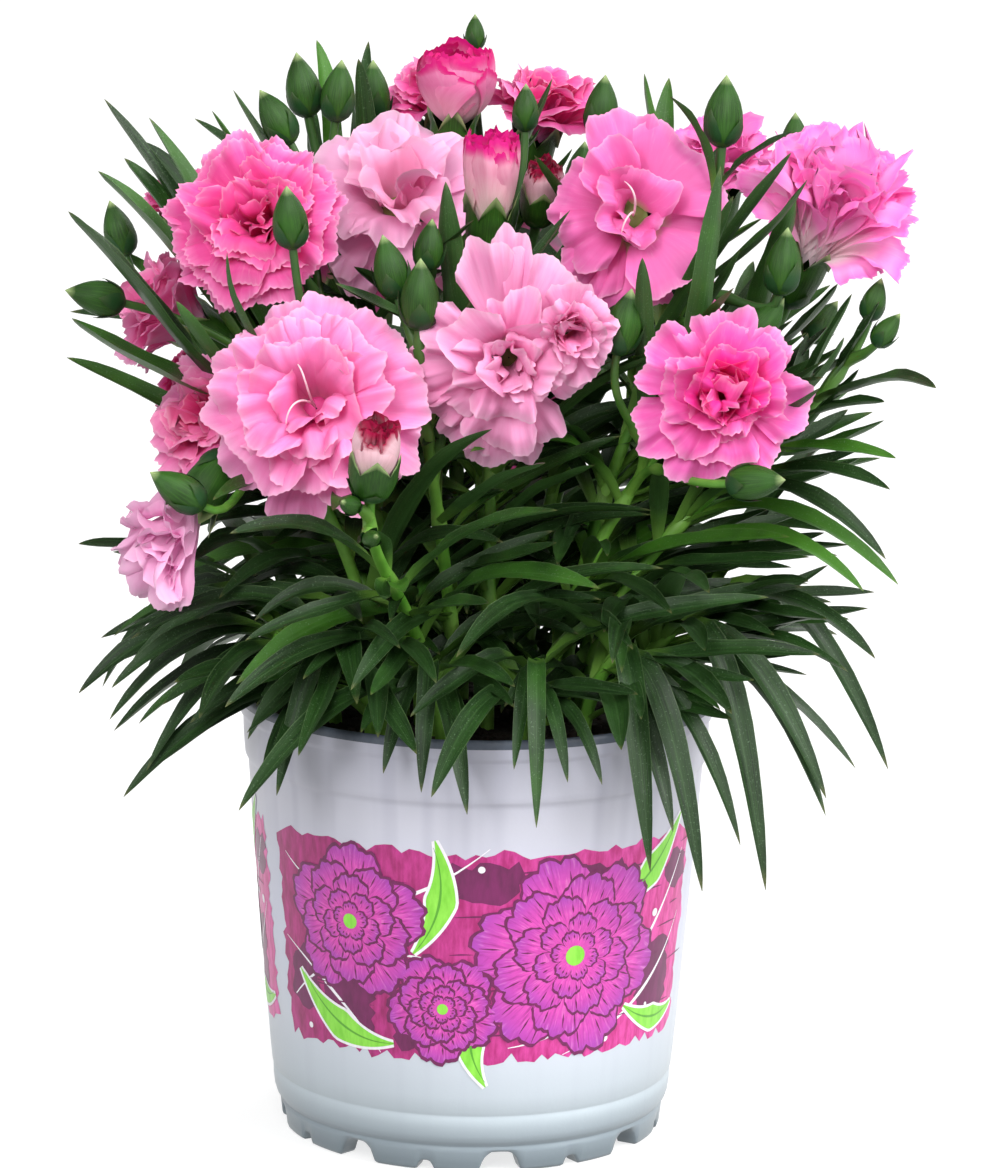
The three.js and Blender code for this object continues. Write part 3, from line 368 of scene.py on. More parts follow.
def stem_blades(stem, number):
    """The leaves of a stem as planned, before any is bent clear of its neighbours."""
    main = main_path(stem)
    draw = draws(LEAF_SEED + SEED_STEP * number)
    tall = is_tall(stem)
    blades = []
    for i, tip in enumerate(stem.tips):
        share = 0.78 - 0.5 * i / len(stem.tips) if tall else 0.9 - 0.16 * i
        blades.append(reaching_blade(main, share, tip, draw))
    last = main.length() - (26 if tall else 3)
    turn = math.pi / 4
    along, step = leaf_steps(stem)
    while along < last:
        for half in (0, math.pi):
            angle = turn + half + 0.24 * (draw() - 0.5)
            blades.append(paired_blade(main, along, angle, tall, draw))
        turn += math.pi / 2
        along += step
    return blades


def bent(blade, turn, lift):
    """A leaf turned round its root and lifted."""
    c, s = math.cos(math.radians(turn)), math.sin(math.radians(turn))
    swing = np.array([[c, -s, 0], [s, c, 0], [0, 0, 1]])
    bend, tip = [blade.root + swing @ (point - blade.root) for point in (blade.bend, blade.tip)]
    bend[2] += lift * blade.length * 0.4
    tip[2] += lift * blade.length
    return blade._replace(bend=bend, tip=tip)


def tree_of(node):
    """The points of a solid, in millimetres, to be searched by place."""
    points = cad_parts[node].data.vertices
    tree = kdtree.KDTree(len(points))
    for i, point in enumerate(points):
        tree.insert(point.co / MM, i)
    tree.balance()
    return tree


def grown_blades(stem, number):
    """The leaves that the stem's solid has, each with the bend that kept it clear of its neighbours."""
    tree = tree_of(stem.name)
    found = []
    for blade in stem_blades(stem, number):
        for turn, lift in LEAF_BENDS:
            way = bent(blade, turn, lift)
            if tree.find(Vector(way.tip))[2] < SAME_POINT:
                found.append(way)
                break
    return found


# ---- Building meshes ----

TAG = "tag"
PLAIN = (0.5, 0.5, 0.5, 1)


class Build:
    """Collects patches of points into one mesh, with four numbers at each point for its material."""

    def __init__(self):
        self.points = []
        self.tags = []
        self.faces = []
        self.slots = []
        self.count = 0

    def patch(self, points, faces, tags, slot=0):
        self.points.append(points)
        self.tags.append(np.broadcast_to(tags, (len(points), 4)))
        self.faces += (np.array(faces) + self.count).tolist()
        self.slots += [slot] * len(faces)
        self.count += len(points)

    def grid(self, points, tags, slot=0, around=False, flip=False):
        """Rows of points joined by quads, closed on itself where it runs around."""
        rows, columns = points.shape[:2]
        index = np.arange(rows * columns).reshape(rows, columns)
        if around:
            index = np.concatenate([index, index[:, :1]], axis=1)
        corners = [index[:-1, :-1], index[:-1, 1:], index[1:, 1:], index[1:, :-1]]
        if flip:
            corners.reverse()
        faces = np.stack(corners, axis=-1).reshape(-1, 4)
        tags = np.broadcast_to(tags, (rows, columns, 4)).reshape(-1, 4)
        self.patch(points.reshape(-1, 3), faces, tags, slot)

    def piece(self, name, materials):
        mesh = bpy.data.meshes.new(name)
        mesh.from_pydata(np.concatenate(self.points) * MM, [], self.faces, shade_flat=False)
        mesh.polygons.foreach_set("material_index", self.slots)
        tags = mesh.color_attributes.new(TAG, "FLOAT_COLOR", "POINT")
        tags.data.foreach_set("color", np.concatenate(self.tags).astype(np.float32).ravel())
        for material in materials:
            mesh.materials.append(material)
        mesh.validate()
        piece = bpy.data.objects.new(name, mesh)
        bpy.context.scene.collection.objects.link(piece)
        return piece


def dress(piece, node=None):
    """Places a piece on the one body, and hides the solid that it stands for."""
    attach(piece, "root")
    if node:
        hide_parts(node)


def tags_of(*parts):
    """The four numbers of each point of a grid, each given as a number, a row or a column."""
    return np.stack(np.broadcast_arrays(*parts), axis=-1)


def ring_points(centres, up, side, radii, angles):
    """Rows of rings, with a centre, up, side and radius for each row."""
    return centres[:, None, :] + outward(up[:, None, :], side[:, None, :], angles) * radii[:, None, None]


def level_rings(profile, angles):
    """Rows of level rings round the pot's axis, from a profile of (radius, height)."""
    radii, heights = vec(profile).T[..., None]
    return np.stack(np.broadcast_arrays(radii * np.cos(angles), radii * np.sin(angles), heights), axis=-1)


def add_turned(build, origin, axes, heights, radii, angles, slot, tags):
    """A turned body: radii is a grid of one row for each ring, heights is one too or a column."""
    axis, up, side = axes
    heights = np.broadcast_to(heights, radii.shape)
    points = origin + outward(up, side, angles) * radii[..., None] + axis * heights[..., None]
    build.grid(points, tags, slot, around=True)


# ---- Leaves ----

LEAF, STEM, CALYX = range(3)
LEAF_SHARE = vec([0, 0.05, 0.12, 0.2, 0.3, 0.4, 0.5, 0.6, 0.69, 0.77, 0.84, 0.9, 0.95, 0.98, 1])
LEAF_HALF = vec([0.5, 0.54, 0.66, 0.82, 0.95, 1, 1, 0.98, 0.93, 0.84, 0.7, 0.53, 0.33, 0.17, 0.02])
LEAF_ACROSS = vec([-1, -0.55, 0, 0.55, 1])
LEAF_THICKNESS = 0.55
THICK_WITHIN = 1.6


def add_leaf(build, blade, draw, wide=1.0, bow=1.0, tone=1.0, shown=0.5):
    """A channelled blade with a keel: an upper and a lower face that meet along both edges."""
    curve = Curve(blade.root, blade.bend, blade.tip)
    _, up, side = frames(curve, LEAF_SHARE, level_across(curve.start, curve.end))
    roll = blade.twist * LEAF_SHARE + shown * up[:, 1] * smooth(0.02, 0.5, LEAF_SHARE)
    right = outward(up, side, roll)
    lift = outward(side, -up, roll)
    half = (3 + 0.055 * blade.length) / 2 * wide * LEAF_HALF
    arch = np.sin(LEAF_SHARE * math.pi)
    sway = (draw() - 0.5) * 0.05 * blade.length * bow
    wave = (draw() - 0.5) * 0.03 * blade.length * bow
    ripple = 0.35 * arch * np.sin(LEAF_SHARE * 17 + draw() * 6)
    centre = curve.at(LEAF_SHARE) + right * (sway * arch)[:, None]
    centre = centre + lift * (wave * np.sin(LEAF_SHARE * 2 * math.pi))[:, None]
    depth = 0.34 + 0.2 * draw()
    # A random tone, lowered by tone where a leaf is painted darker as shade.
    seed = draw() * tone
    raised = (np.abs(LEAF_ACROSS) ** 1.3 * depth - 0.25 * depth) * half[:, None]
    raised = raised + ripple[:, None] * LEAF_ACROSS
    full = np.minimum(half, THICK_WITHIN)[:, None] / THICK_WITHIN
    thick = LEAF_THICKNESS * (1 - LEAF_ACROSS**2) * full
    across = LEAF_ACROSS[:, None] * half[:, None, None] * right[:, None, :]
    top = centre[:, None, :] + across + lift[:, None, :] * raised[..., None]
    below = top - lift[:, None, :] * thick[..., None]
    for points, upper in ((top, 1), (below, 0)):
        tags = tags_of(LEAF_ACROSS * 0.5 + 0.5, LEAF_SHARE[:, None], seed, upper)
        build.grid(points, tags, LEAF, flip=not upper)


# ---- Stems, calyxes and buds ----

TUBE_STEP = 3.2
JOINT_SWELL = 0.75
JOINT_LENGTH = 2.6
CALYX_TEETH = 5
CALYX_RIBS = 20
TEETH_FROM = 0.84
TEETH_SPAN = 0.38
TEETH_LENGTH = 0.42
BUD_STOPS = [0, 0.03, 0.08, 0.16, 0.26, 0.38, 0.5, 0.62, 0.73, 0.82, 0.9, 0.96, 1]
BUD_SIZES = [0.28, 0.5, 0.72, 0.89, 0.98, 1, 0.95, 0.83, 0.66, 0.47, 0.28, 0.12, 0.02]
BUD_WIDTH = 0.275
CALYX_STOPS = [0, 0.04, 0.1, 0.22, 0.6, 1, 1.22]
CALYX_ROWS = vec([0, 0.04, 0.1, 0.2, 0.32, 0.46, 0.6, 0.74, 0.84, 0.9, 0.97, 1.06, 1.14, 1.22])


def add_tube(build, curve, radii, seed, joints=()):
    """A round stem that swells a little at its joints."""
    length = curve.length()
    share = np.linspace(0, 1, max(int(length / TUBE_STEP), 4))
    _, up, side = frames(curve, share, level_across(curve.start, curve.end))
    swell = 0 * share
    for place in joints:
        swell = np.maximum(swell, np.exp(-(((share - place) * length / JOINT_LENGTH) ** 2)))
    radius = radii[0] + (radii[1] - radii[0]) * share + JOINT_SWELL * swell
    tags = tags_of(0.5, share[:, None], seed, swell[:, None])
    build.grid(ring_points(curve.at(share), up, side, radius, turns(8)), tags, STEM, around=True)


def add_bracts(build, base, axes, low, lengths, lean, radius, outline, draw):
    """Four pointed scales that hug a calyx or a bud from below."""
    axis, up, side = axes
    across = np.linspace(-1, 1, 5)
    t = np.linspace(0, 1, 7)
    spread = radius * 0.62 * np.interp(t, [0, 0.35, 0.7, 0.88, 1], [0.75, 1, 0.62, 0.2, 0.02])
    first = draw() * 3
    for i in range(4):
        heights = low + t * lengths[i % 2]
        out = (outline(heights) + 0.25 + lean() * t**2)[:, None]
        way = outward(up, side, first + i * math.pi / 2 + across * spread[:, None] / out)
        points = base + way * (out - 0.12 * across**2)[..., None] + axis * heights[:, None, None]
        build.grid(points, tags_of(across * 0.5 + 0.5, t[:, None], draw(), 0.5), CALYX)


def add_calyx(build, bloom, axes, draw):
    """A ribbed cup with five teeth round its mouth."""
    length, radius = calyx_size(bloom)
    base = bloom_places(bloom)[2]
    hugging = bloom.form == "tip"
    widths = [0.26, 0.44, 0.6, 0.8, 0.97, 1, 0.98 if hugging else 1.1]

    def outline(height):
        return radius * np.interp(height / length, CALYX_STOPS, widths)

    angles = turns(40)
    t = CALYX_ROWS[:, None]
    teeth = np.abs((angles * CALYX_TEETH / (2 * math.pi) + 0.5) % 1 * 2 - 1)
    top = np.clip((t - TEETH_FROM) / TEETH_SPAN, 0, 1)
    heights = (np.minimum(t, TEETH_FROM) + TEETH_LENGTH * top * (1 - teeth) ** 0.85) * length
    rib = 1 + 0.012 * np.cos(angles * CALYX_RIBS)
    flare = 1 + (0 if hugging else 0.14) * top**2 * (1 - teeth)
    tags = tags_of(teeth, t / CALYX_STOPS[-1], draw(), 1)
    add_turned(build, base, axes, heights, outline(t * length) * rib * flare, angles, CALYX, tags)
    lengths = (0.42 * length, 0.48 * length)
    add_bracts(build, base, axes, 0.2, lengths, lambda: 0.5, radius, outline, draw)


def add_bud(build, bud, axes, draw):
    """A closed bud, grooved where its scales meet near the tip."""
    length, radius = bud.length, bud.length * BUD_WIDTH
    base = bud_base(bud)

    def outline(height):
        return radius * np.interp(height / length, BUD_STOPS, BUD_SIZES)

    angles = turns(30)
    t = vec(BUD_STOPS)[:, None]
    seam = np.abs((angles * 5 / (2 * math.pi)) % 1 * 2 - 1)
    groove = 1 - 0.16 * smooth(0.45, 0.95, t) * (1 - seam) ** 3
    radii = radius * vec(BUD_SIZES)[:, None] * groove * (1 + 0.01 * np.cos(angles * 15))
    add_turned(build, base, axes, t * length, radii, angles, CALYX, tags_of(seam, t, draw(), 1))
    lengths = (0.44 * length, 0.54 * length)
    add_bracts(build, base, axes, 0.1, lengths, lambda: 0.4 + 0.5 * draw(), radius, outline, draw)


# ---- Leafy stems ----

# Added leaves: how far up a stem they start, the way from pair to pair, and how far from its end they stop.
ADDED_ON_TALL, ADDED_ON_SHORT = (9, 10.5, 30), (5, 8.5, 0)


def leaf_is_free(blade):
    """Whether a leaf that is added stays clear of the pot, the soil, the canopy's edge and the blooms."""
    points = Curve(blade.root, blade.bend, blade.tip).at(np.linspace(0.12, 1, 12))
    out, z = np.hypot(points[:, 0], points[:, 1]), points[:, 2]
    over_rim = (out < RIM_RADIUS + 4) & (out > RIM_RADIUS - 7)
    inside_rim = out <= RIM_RADIUS - 5
    if np.any(over_rim & (z < RIM_Z + 4)) or np.any(inside_rim & (z < SOIL_Z + 2)):
        return False
    if np.any(out > CANOPY_RADIUS + 2):
        return False
    for bloom in BLOOMS:
        axis, mouth, _ = bloom_places(bloom)
        radius = bloom.radius * 1.02
        away = points - (mouth + axis * 0.3 * bloom.radius)
        along = away @ axis
        across = np.linalg.norm(away - along[:, None] * axis, axis=1)
        if np.any((across < radius + 3) & (np.abs(along) < 0.55 * radius + 2)):
            return False
    return True


def filling_blades(stem, number):
    """More opposite leaves between those of the solid, shorter and inside them, where they are free."""
    main = main_path(stem)
    tall = is_tall(stem)
    draw = draws(FILLING_SEED + SEED_STEP * number)
    along, step, short = ADDED_ON_TALL if tall else ADDED_ON_SHORT
    last = main.length() - short
    turn = math.pi * draw()
    blades = []
    while along < last:
        for half in (0, math.pi):
            angle = turn + half + 0.6 * (draw() - 0.5)
            root, bend, tip, length, twist = paired_blade(main, along, angle, tall, draw)
            shorter = 0.62 + 0.3 * draw()
            blade = Blade(root, root + (bend - root) * shorter, root + (tip - root) * shorter,
                          length * shorter, twist)
            if leaf_is_free(blade):
                blades.append(blade)
        turn += math.pi * 0.38
        along += step
    return blades


# More long leaves between the blooms: share of the stem's height, bend, tip and width.
HAND_LEAVES = {
    "stem_left_side": [
        (0.93, (-87, -46, 232), (-109, -38, 257), 1.5), (0.98, (-83, -40, 215), (-108, -40, 229), 1.75),
        (1, (-72, -48, 222), (-80, -48, 235), 1.1),
    ],
    "stem_left_away": [
        (0.98, (-81, -14, 247), (-103, -14, 265), 1.4), (0.9, (-79, 0, 245), (-97, 0, 267), 1.4),
        (0.95, (-73, 10, 258), (-94, 16, 270), 1.1),
    ],
    "stem_front_left": [(0.9, (-64, -62, 227), (-66, -64, 250), 0.55)],
    "stem_centre_half_open": [(0.72, (-8, -38, 235), (-10, -36, 266), 1.25)],
    "stem_front_right": [
        (0.62, (43, -64, 229), (41, -70, 251), 0.7), (0.8, (58, -62, 231), (61, -62, 274), 0.95),
    ],
    "stem_buds_right": [
        (0.9, (60, -38, 281), (48, -42, 290), 0.75), (0.9, (66, -36, 275), (81, -40, 281), 0.6),
    ],
    "stem_far_right": [
        (0.78, (76, -34, 249), (82, -36, 264), 1.1), (0.72, (85, -18, 225), (95, -18, 238), 1.3),
    ],
    "stem_buds_far_right": [
        (0.62, (88, -30, 216), (98, -30, 237), 1.15), (0.8, (99, -22, 221), (106, -22, 234), 0.8),
        (0.5, (84, -46, 211), (95, -48, 228), 1.2),
    ],
    "stem_top": [(0.98, (-1, 6, 259), (6, 10, 270), 0.7), (0.96, (10, 10, 267), (15, 16, 275), 0.5)],
    "stem_top_right": [(0.9, (15, 20, 258), (24, 12, 270), 0.8)],
    "stem_right_upper": [
        (0.7, (26, -20, 230), (21, -30, 243), 1.1), (0.62, (31, -36, 225), (37, -44, 236), 1),
    ],
    "stem_centre_pale": [(0.8, (-14, -20, 232), (-13, -24, 246), 1)],
    "stem_buds_middle": [(0.55, (-8, -56, 216), (-3, -60, 238), 0.9)],
}


# Over the print the leaves are slimmer, and one added leaf would cut through a leaf of the solid.
SLIM_SHOOT = "shoot_front_right"
CROSSING_LEAF = 1

# How wide leaves are, as a share of the plain width, and the painted shade: how much darker the leaves in
# the shade of others are painted.
TALL_LEAF_WIDTH = 1.0
SHORT_LEAF_WIDTH = 1.06
SLIM_LEAF_WIDTH = 0.86
ADDED_LEAF_WIDTH = 0.92
ADDED_LEAF_BOW = 2.4
PAINTED_SHADE_TONE = 0.55
HAND_LEAF_TONE = 0.7

# The axis of each bloom: the direction in which its stem ends.
BLOOM_AXIS = {}


def make_stem(stem, number):
    """A leafy stem or shoot with its side twigs, calyxes and buds."""
    draw = draws(STEM_SEED + number)
    build = Build()
    main = main_path(stem)
    tall = is_tall(stem)
    slim = stem.name == SLIM_SHOOT
    foot = vec([*stem.root, SOIL_Z - STEM_DEPTH])
    buried = Curve(foot, (foot + main.start) / 2, main.start + vec([0, 0, 0.1]))
    add_tube(build, buried, (STEM_FOOT_RADIUS, STEM_FOOT_RADIUS), draw())
    first, step = leaf_steps(stem)
    length = main.length()
    seed = draw()
    joints = [along / length for along in range(first, int(length), step)]
    add_tube(build, main, (STEM_FOOT_RADIUS, STEM_TOP_RADIUS), seed, joints)
    wide = TALL_LEAF_WIDTH if tall else SLIM_LEAF_WIDTH if slim else SHORT_LEAF_WIDTH
    # Leaves of the short shoots, and the added leaves inside, are painted darker as shade.
    for blade in grown_blades(stem, number):
        add_leaf(build, blade, draw, wide=wide, tone=1.0 if tall else PAINTED_SHADE_TONE, shown=0.4)
    for i, blade in enumerate(filling_blades(stem, number)):
        if not (slim and i == CROSSING_LEAF):
            add_leaf(build, blade, draw, ADDED_LEAF_WIDTH, ADDED_LEAF_BOW, PAINTED_SHADE_TONE, shown=0.6)
    for share, bend, tip, wide in HAND_LEAVES.get(stem.name, ()):
        root, bend, tip = main.at(share), vec(bend), vec(tip)
        reach = np.linalg.norm(bend - root) + np.linalg.norm(tip - bend)
        add_leaf(build, Blade(root, bend, tip, reach, 0.2), draw, wide=wide, tone=HAND_LEAF_TONE)
    crowns = [(stem.bloom, main)] if stem.bloom else []
    if stem.crown:
        add_bud(build, stem.crown, end_frame(main), draw)
    for name, share in stem.sides:
        axis, _, base = bloom_places(BLOOM[name])
        crowns.append((name, side_path(main, share, base, axis)))
    for name, path in crowns:
        if path is not main:
            add_tube(build, path, (STEM_TOP_RADIUS, STEM_TOP_RADIUS), seed, (0.5,))
        add_calyx(build, BLOOM[name], end_frame(path), draw)
        BLOOM_AXIS[name] = end_frame(path)[0]
    for bud in stem.buds:
        path = side_path(main, bud.share, bud_base(bud), unit(vec(bud.facing)))
        add_tube(build, path, (TWIG_RADIUS + 0.15, TWIG_RADIUS), seed, (0.45,))
        add_bud(build, bud, end_frame(path), draw)
    dress(build.piece(stem.name + "_grown", GREENS), stem.name)


# ---- Blooms ----

# A petal is (angle, reach, rise, spread, cup, pleat, inner): its direction in degrees, anticlockwise from
# the right as seen from in front, how far out and how far up its rim is, half the angle of its fan, the
# radius that it curls round, the depth of its folds, and 0 for an outer petal to 1 for the heart.
# Reach, rise and cup are shares of the bloom's radius.
PETALS = {
    "bloom_right_upper": [
        (268, 1.1, 0.02, 36, 1.5, 0.05, 0), (234, 1, 0.08, 34, 1.4, 0.06, 0),
        (100, 1.16, 0.2, 28, 1, 0.08, 0), (160, 0.9, 0.22, 32, 1, 0.08, 0),
        (44, 1.06, 0.28, 45, 1.5, 0.04, 0), (352, 0.98, 0.14, 32, 1.3, 0.05, 0),
        (302, 0.94, 0.24, 42, 1.3, 0.05, 0.1), (210, 0.84, 0.28, 36, 0.8, 0.09, 0.1),
        (124, 0.84, 0.48, 26, 0.6, 0.09, 0.2), (172, 0.46, 0.56, 40, 0.5, 0.12, 0.3),
        (240, 0.36, 0.46, 40, 0.5, 0.12, 0.3), (316, 0.34, 0.36, 38, 0.5, 0.12, 0.2),
        (60, 0.5, 0.5, 36, 0.6, 0.08, 0.1), (190, 0.2, 0.5, 40, 0.3, 0.12, 0.3),
    ],
    "bloom_front_right": [
        (252, 1.04, 0.1, 33, 1.4, 0.08, 0), (302, 1.01, 0.12, 30, 1.4, 0.08, 0),
        (206, 1.03, 0.14, 30, 1.3, 0.08, 0), (352, 1.07, 0.14, 32, 1.4, 0.08, 0),
        (148, 1.04, 0.22, 33, 1.1, 0.08, 0), (86, 1.02, 0.24, 28, 1.1, 0.08, 0),
        (44, 0.97, 0.22, 31, 1.1, 0.08, 0), (324, 0.9, 0.12, 30, 1.2, 0.08, 0),
        (116, 0.82, 0.26, 26, 1, 0.08, 0.1), (276, 0.84, 0.26, 34, 0.9, 0.09, 0.1),
        (228, 0.76, 0.32, 34, 0.8, 0.1, 0.2), (178, 0.74, 0.42, 34, 0.7, 0.11, 0.3),
        (62, 0.84, 0.44, 36, 0.8, 0.1, 0.6), (14, 0.7, 0.44, 36, 0.7, 0.12, 0.7),
        (124, 0.62, 0.5, 34, 0.6, 0.12, 0.6), (188, 0.54, 0.54, 42, 0.4, 0.14, 0.7),
        (250, 0.46, 0.44, 44, 0.6, 0.13, 0.5), (306, 0.5, 0.44, 40, 0.6, 0.14, 0.6),
        (150, 0.44, 0.66, 44, 0.3, 0.16, 1), (76, 0.52, 0.62, 42, 0.3, 0.16, 1),
        (20, 0.5, 0.6, 44, 0.3, 0.16, 1), (300, 0.36, 0.56, 42, 0.3, 0.16, 1),
        (230, 0.3, 0.58, 44, 0.3, 0.18, 1), (120, 0.22, 0.68, 40, 0.25, 0.18, 1),
        (350, 0.18, 0.64, 40, 0.25, 0.2, 1), (60, 0.1, 0.66, 44, 0.2, 0.2, 1),
        (240, 0.1, 0.62, 44, 0.2, 0.2, 1),
    ],
    "bloom_front_centre": [
        (270, 1.24, -0.1, 26, 1.2, 0.09, 0), (246, 1.08, -0.06, 26, 1.1, 0.1, 0),
        (294, 1.02, -0.06, 24, 1.1, 0.1, 0), (214, 1.02, 0, 26, 1, 0.1, 0),
        (190, 0.98, 0.08, 28, 1, 0.1, 0),
        (158, 0.98, 0.14, 26, 0.9, 0.1, 0), (106, 1.26, 0.14, 25, 1, 0.09, 0),
        (72, 1.16, 0.14, 25, 1, 0.09, 0), (90, 1.34, 0.14, 13, 0.8, 0.09, 0), (46, 1, 0.1, 26, 1, 0.08, 0),
        (345, 0.84, 0, 30, 1, 0.08, 0), (264, 0.98, 0.18, 34, 0.9, 0.1, 0.1),
        (228, 0.78, 0.24, 30, 0.8, 0.11, 0.1), (144, 0.74, 0.44, 36, 0.5, 0.14, 0.2),
        (182, 0.62, 0.42, 34, 0.5, 0.14, 0.2), (92, 0.8, 0.42, 24, 0.6, 0.12, 0.1),
        (16, 0.52, 0.52, 40, 0.45, 0.14, 0.3), (328, 0.52, 0.42, 36, 0.5, 0.14, 0.2),
        (262, 0.64, 0.4, 36, 0.5, 0.12, 0.2), (150, 0.3, 0.58, 40, 0.3, 0.12, 0.4),
        (330, 0.24, 0.5, 40, 0.3, 0.12, 0.4), (210, 0.26, 0.5, 36, 0.3, 0.12, 0.4),
        (90, 0.28, 0.56, 36, 0.3, 0.12, 0.4), (30, 0.16, 0.54, 38, 0.3, 0.12, 0.5),
        (270, 0.24, 0.46, 38, 0.3, 0.12, 0.4), (180, 0.12, 0.5, 34, 0.3, 0.12, 0.4),
        (315, 0.1, 0.48, 34, 0.3, 0.12, 0.4),
    ],
    "bloom_far_right": [
        (178, 0.92, 0.42, 38, 1.3, 0.06, 0), (206, 0.72, 0.42, 30, 1, 0.08, 0),
        (156, 0.86, 0.76, 38, 1.2, 0.06, 0), (128, 0.78, 0.94, 38, 1.2, 0.05, 0),
        (98, 0.72, 1, 34, 1.1, 0.05, 0), (68, 0.76, 0.98, 32, 1, 0.05, 0),
        (40, 0.8, 0.86, 36, 1.4, 0.04, 0),
        (12, 0.88, 0.62, 36, 1.5, 0.05, 0), (352, 0.92, 0.34, 32, 1.6, 0.07, 0),
        (336, 0.74, 0.22, 40, 1.8, 0.09, 0), (226, 0.34, 0.9, 26, 0.8, 0.06, 0),
        (254, 0.22, 1.02, 25, 0.8, 0.05, 0), (284, 0.2, 1.04, 25, 0.8, 0.05, 0),
        (312, 0.36, 0.94, 26, 0.9, 0.06, 0), (192, 0.5, 0.84, 32, 0.8, 0.08, 0.2),
        (150, 0.52, 1, 32, 0.7, 0.08, 0.2), (338, 0.56, 0.8, 30, 0.8, 0.08, 0.2),
        (10, 0.7, 0.82, 32, 0.8, 0.08, 0.2), (40, 0.64, 0.96, 32, 0.8, 0.08, 0.2),
        (72, 0.54, 1.06, 32, 0.7, 0.08, 0.2), (110, 0.46, 1.08, 32, 0.6, 0.09, 0.3),
        (342, 0.36, 0.98, 34, 0.5, 0.1, 0.4), (20, 0.42, 1.02, 34, 0.5, 0.1, 0.5),
        (206, 0.22, 1.06, 34, 0.4, 0.1, 0.5), (80, 0.3, 1.1, 34, 0.4, 0.1, 0.5),
        (300, 0.1, 1.08, 34, 0.3, 0.1, 0.6), (140, 0.2, 1.12, 34, 0.3, 0.1, 0.6),
        (0, 0.14, 1.1, 34, 0.3, 0.1, 0.6),
    ],
    "bloom_left_drooping": [
        (80, 0.96, 0.48, 30, 1, 0.1, 0), (118, 0.8, 0.74, 30, 0.8, 0.12, 0),
        (42, 0.78, 0.74, 30, 0.8, 0.12, 0), (62, 0.84, 0.6, 32, 0.9, 0.1, 0.1),
        (270, 0.6, 1.46, 32, 1, 0.09, 0), (232, 0.62, 1.36, 32, 0.9, 0.1, 0),
        (306, 0.62, 1.3, 32, 0.9, 0.1, 0), (176, 0.6, 1.18, 30, 0.8, 0.1, 0.1),
        (2, 0.56, 1.22, 28, 0.8, 0.1, 0.1), (262, 0.3, 1.42, 34, 0.6, 0.12, 0.1),
        (210, 0.34, 1.28, 30, 0.5, 0.12, 0.2), (330, 0.32, 1.28, 30, 0.5, 0.12, 0.2),
        (90, 0.6, 0.9, 32, 0.5, 0.12, 0.2), (140, 0.4, 1.08, 30, 0.4, 0.12, 0.3),
        (40, 0.36, 1.1, 30, 0.4, 0.12, 0.3),
    ],
    "bloom_front_left": [
        (262, 1.01, -0.12, 26, 1.3, 0.08, 0), (212, 0.98, 0.06, 34, 1.3, 0.08, 0),
        (300, 0.96, 0, 32, 1.3, 0.08, 0), (336, 1.02, 0.1, 30, 1, 0.1, 0), (178, 1, 0.16, 32, 1.4, 0.07, 0),
        (146, 1, 0.2, 32, 1.5, 0.06, 0), (112, 1, 0.22, 32, 1.5, 0.06, 0), (76, 1, 0.22, 32, 1.5, 0.06, 0),
        (40, 1, 0.2, 32, 1.5, 0.06, 0), (8, 1, 0.2, 28, 1, 0.09, 0), (232, 0.86, 0.3, 38, 0.9, 0.11, 0.1),
        (272, 0.8, 0.32, 38, 0.8, 0.11, 0.1), (312, 0.8, 0.32, 36, 0.8, 0.11, 0.1),
        (192, 0.84, 0.36, 36, 0.9, 0.1, 0.1), (128, 0.78, 0.44, 34, 1, 0.08, 0.2),
        (92, 0.76, 0.46, 34, 1, 0.08, 0.2), (54, 0.78, 0.44, 34, 1, 0.08, 0.2),
        (16, 0.7, 0.44, 34, 0.7, 0.12, 0.2), (250, 0.62, 0.5, 40, 0.6, 0.13, 0.3),
        (208, 0.6, 0.52, 40, 0.6, 0.13, 0.3), (300, 0.52, 0.5, 40, 0.5, 0.13, 0.3),
        (150, 0.56, 0.58, 36, 0.7, 0.1, 0.4), (104, 0.48, 0.62, 38, 0.7, 0.09, 0.4),
        (62, 0.5, 0.6, 34, 0.6, 0.1, 0.4), (340, 0.36, 0.54, 40, 0.35, 0.15, 0.4),
        (230, 0.3, 0.58, 40, 0.35, 0.15, 0.5),
    ],
    "bloom_front_opening": [
        (270, 0.8, 1.34, 56, 0.95, 0.02, 0), (0, 0.74, 1.66, 52, 0.95, 0.02, 0),
        (90, 0.74, 1.74, 52, 0.95, 0.02, 0), (180, 0.74, 1.66, 52, 0.95, 0.02, 0),
        (300, 0.5, 1.44, 36, 0.3, 0.16, 1), (240, 0.5, 1.44, 36, 0.3, 0.16, 1),
        (10, 0.5, 1.5, 36, 0.3, 0.16, 1), (170, 0.5, 1.5, 36, 0.3, 0.16, 1),
        (90, 0.5, 1.56, 36, 0.3, 0.16, 1), (270, 0.34, 1.48, 36, 0.25, 0.18, 1),
        (330, 0.34, 1.5, 36, 0.25, 0.18, 1), (30, 0.34, 1.52, 36, 0.25, 0.18, 1),
        (150, 0.34, 1.52, 36, 0.25, 0.18, 1), (210, 0.34, 1.5, 36, 0.25, 0.18, 1),
        (300, 0.14, 1.52, 36, 0.25, 0.18, 1), (180, 0.14, 1.52, 36, 0.25, 0.18, 1),
        (60, 0.14, 1.54, 36, 0.25, 0.18, 1),
    ],
    "bloom_centre_pale": [
        (262, 1.06, -0.22, 36, 1, 0.11, 0), (226, 1.02, -0.06, 36, 1.1, 0.1, 0),
        (304, 0.96, 0, 36, 1, 0.1, 0), (184, 1.02, 0.1, 40, 1.4, 0.07, 0),
        (142, 1.04, 0.2, 42, 1.4, 0.06, 0),
        (88, 1, 0.26, 42, 1.4, 0.06, 0), (38, 1, 0.22, 40, 1.2, 0.07, 0),
        (350, 0.96, 0.12, 38, 1.1, 0.08, 0),
        (210, 0.84, 0.3, 42, 1, 0.09, 0.2), (262, 0.74, 0.26, 42, 0.8, 0.12, 0.2),
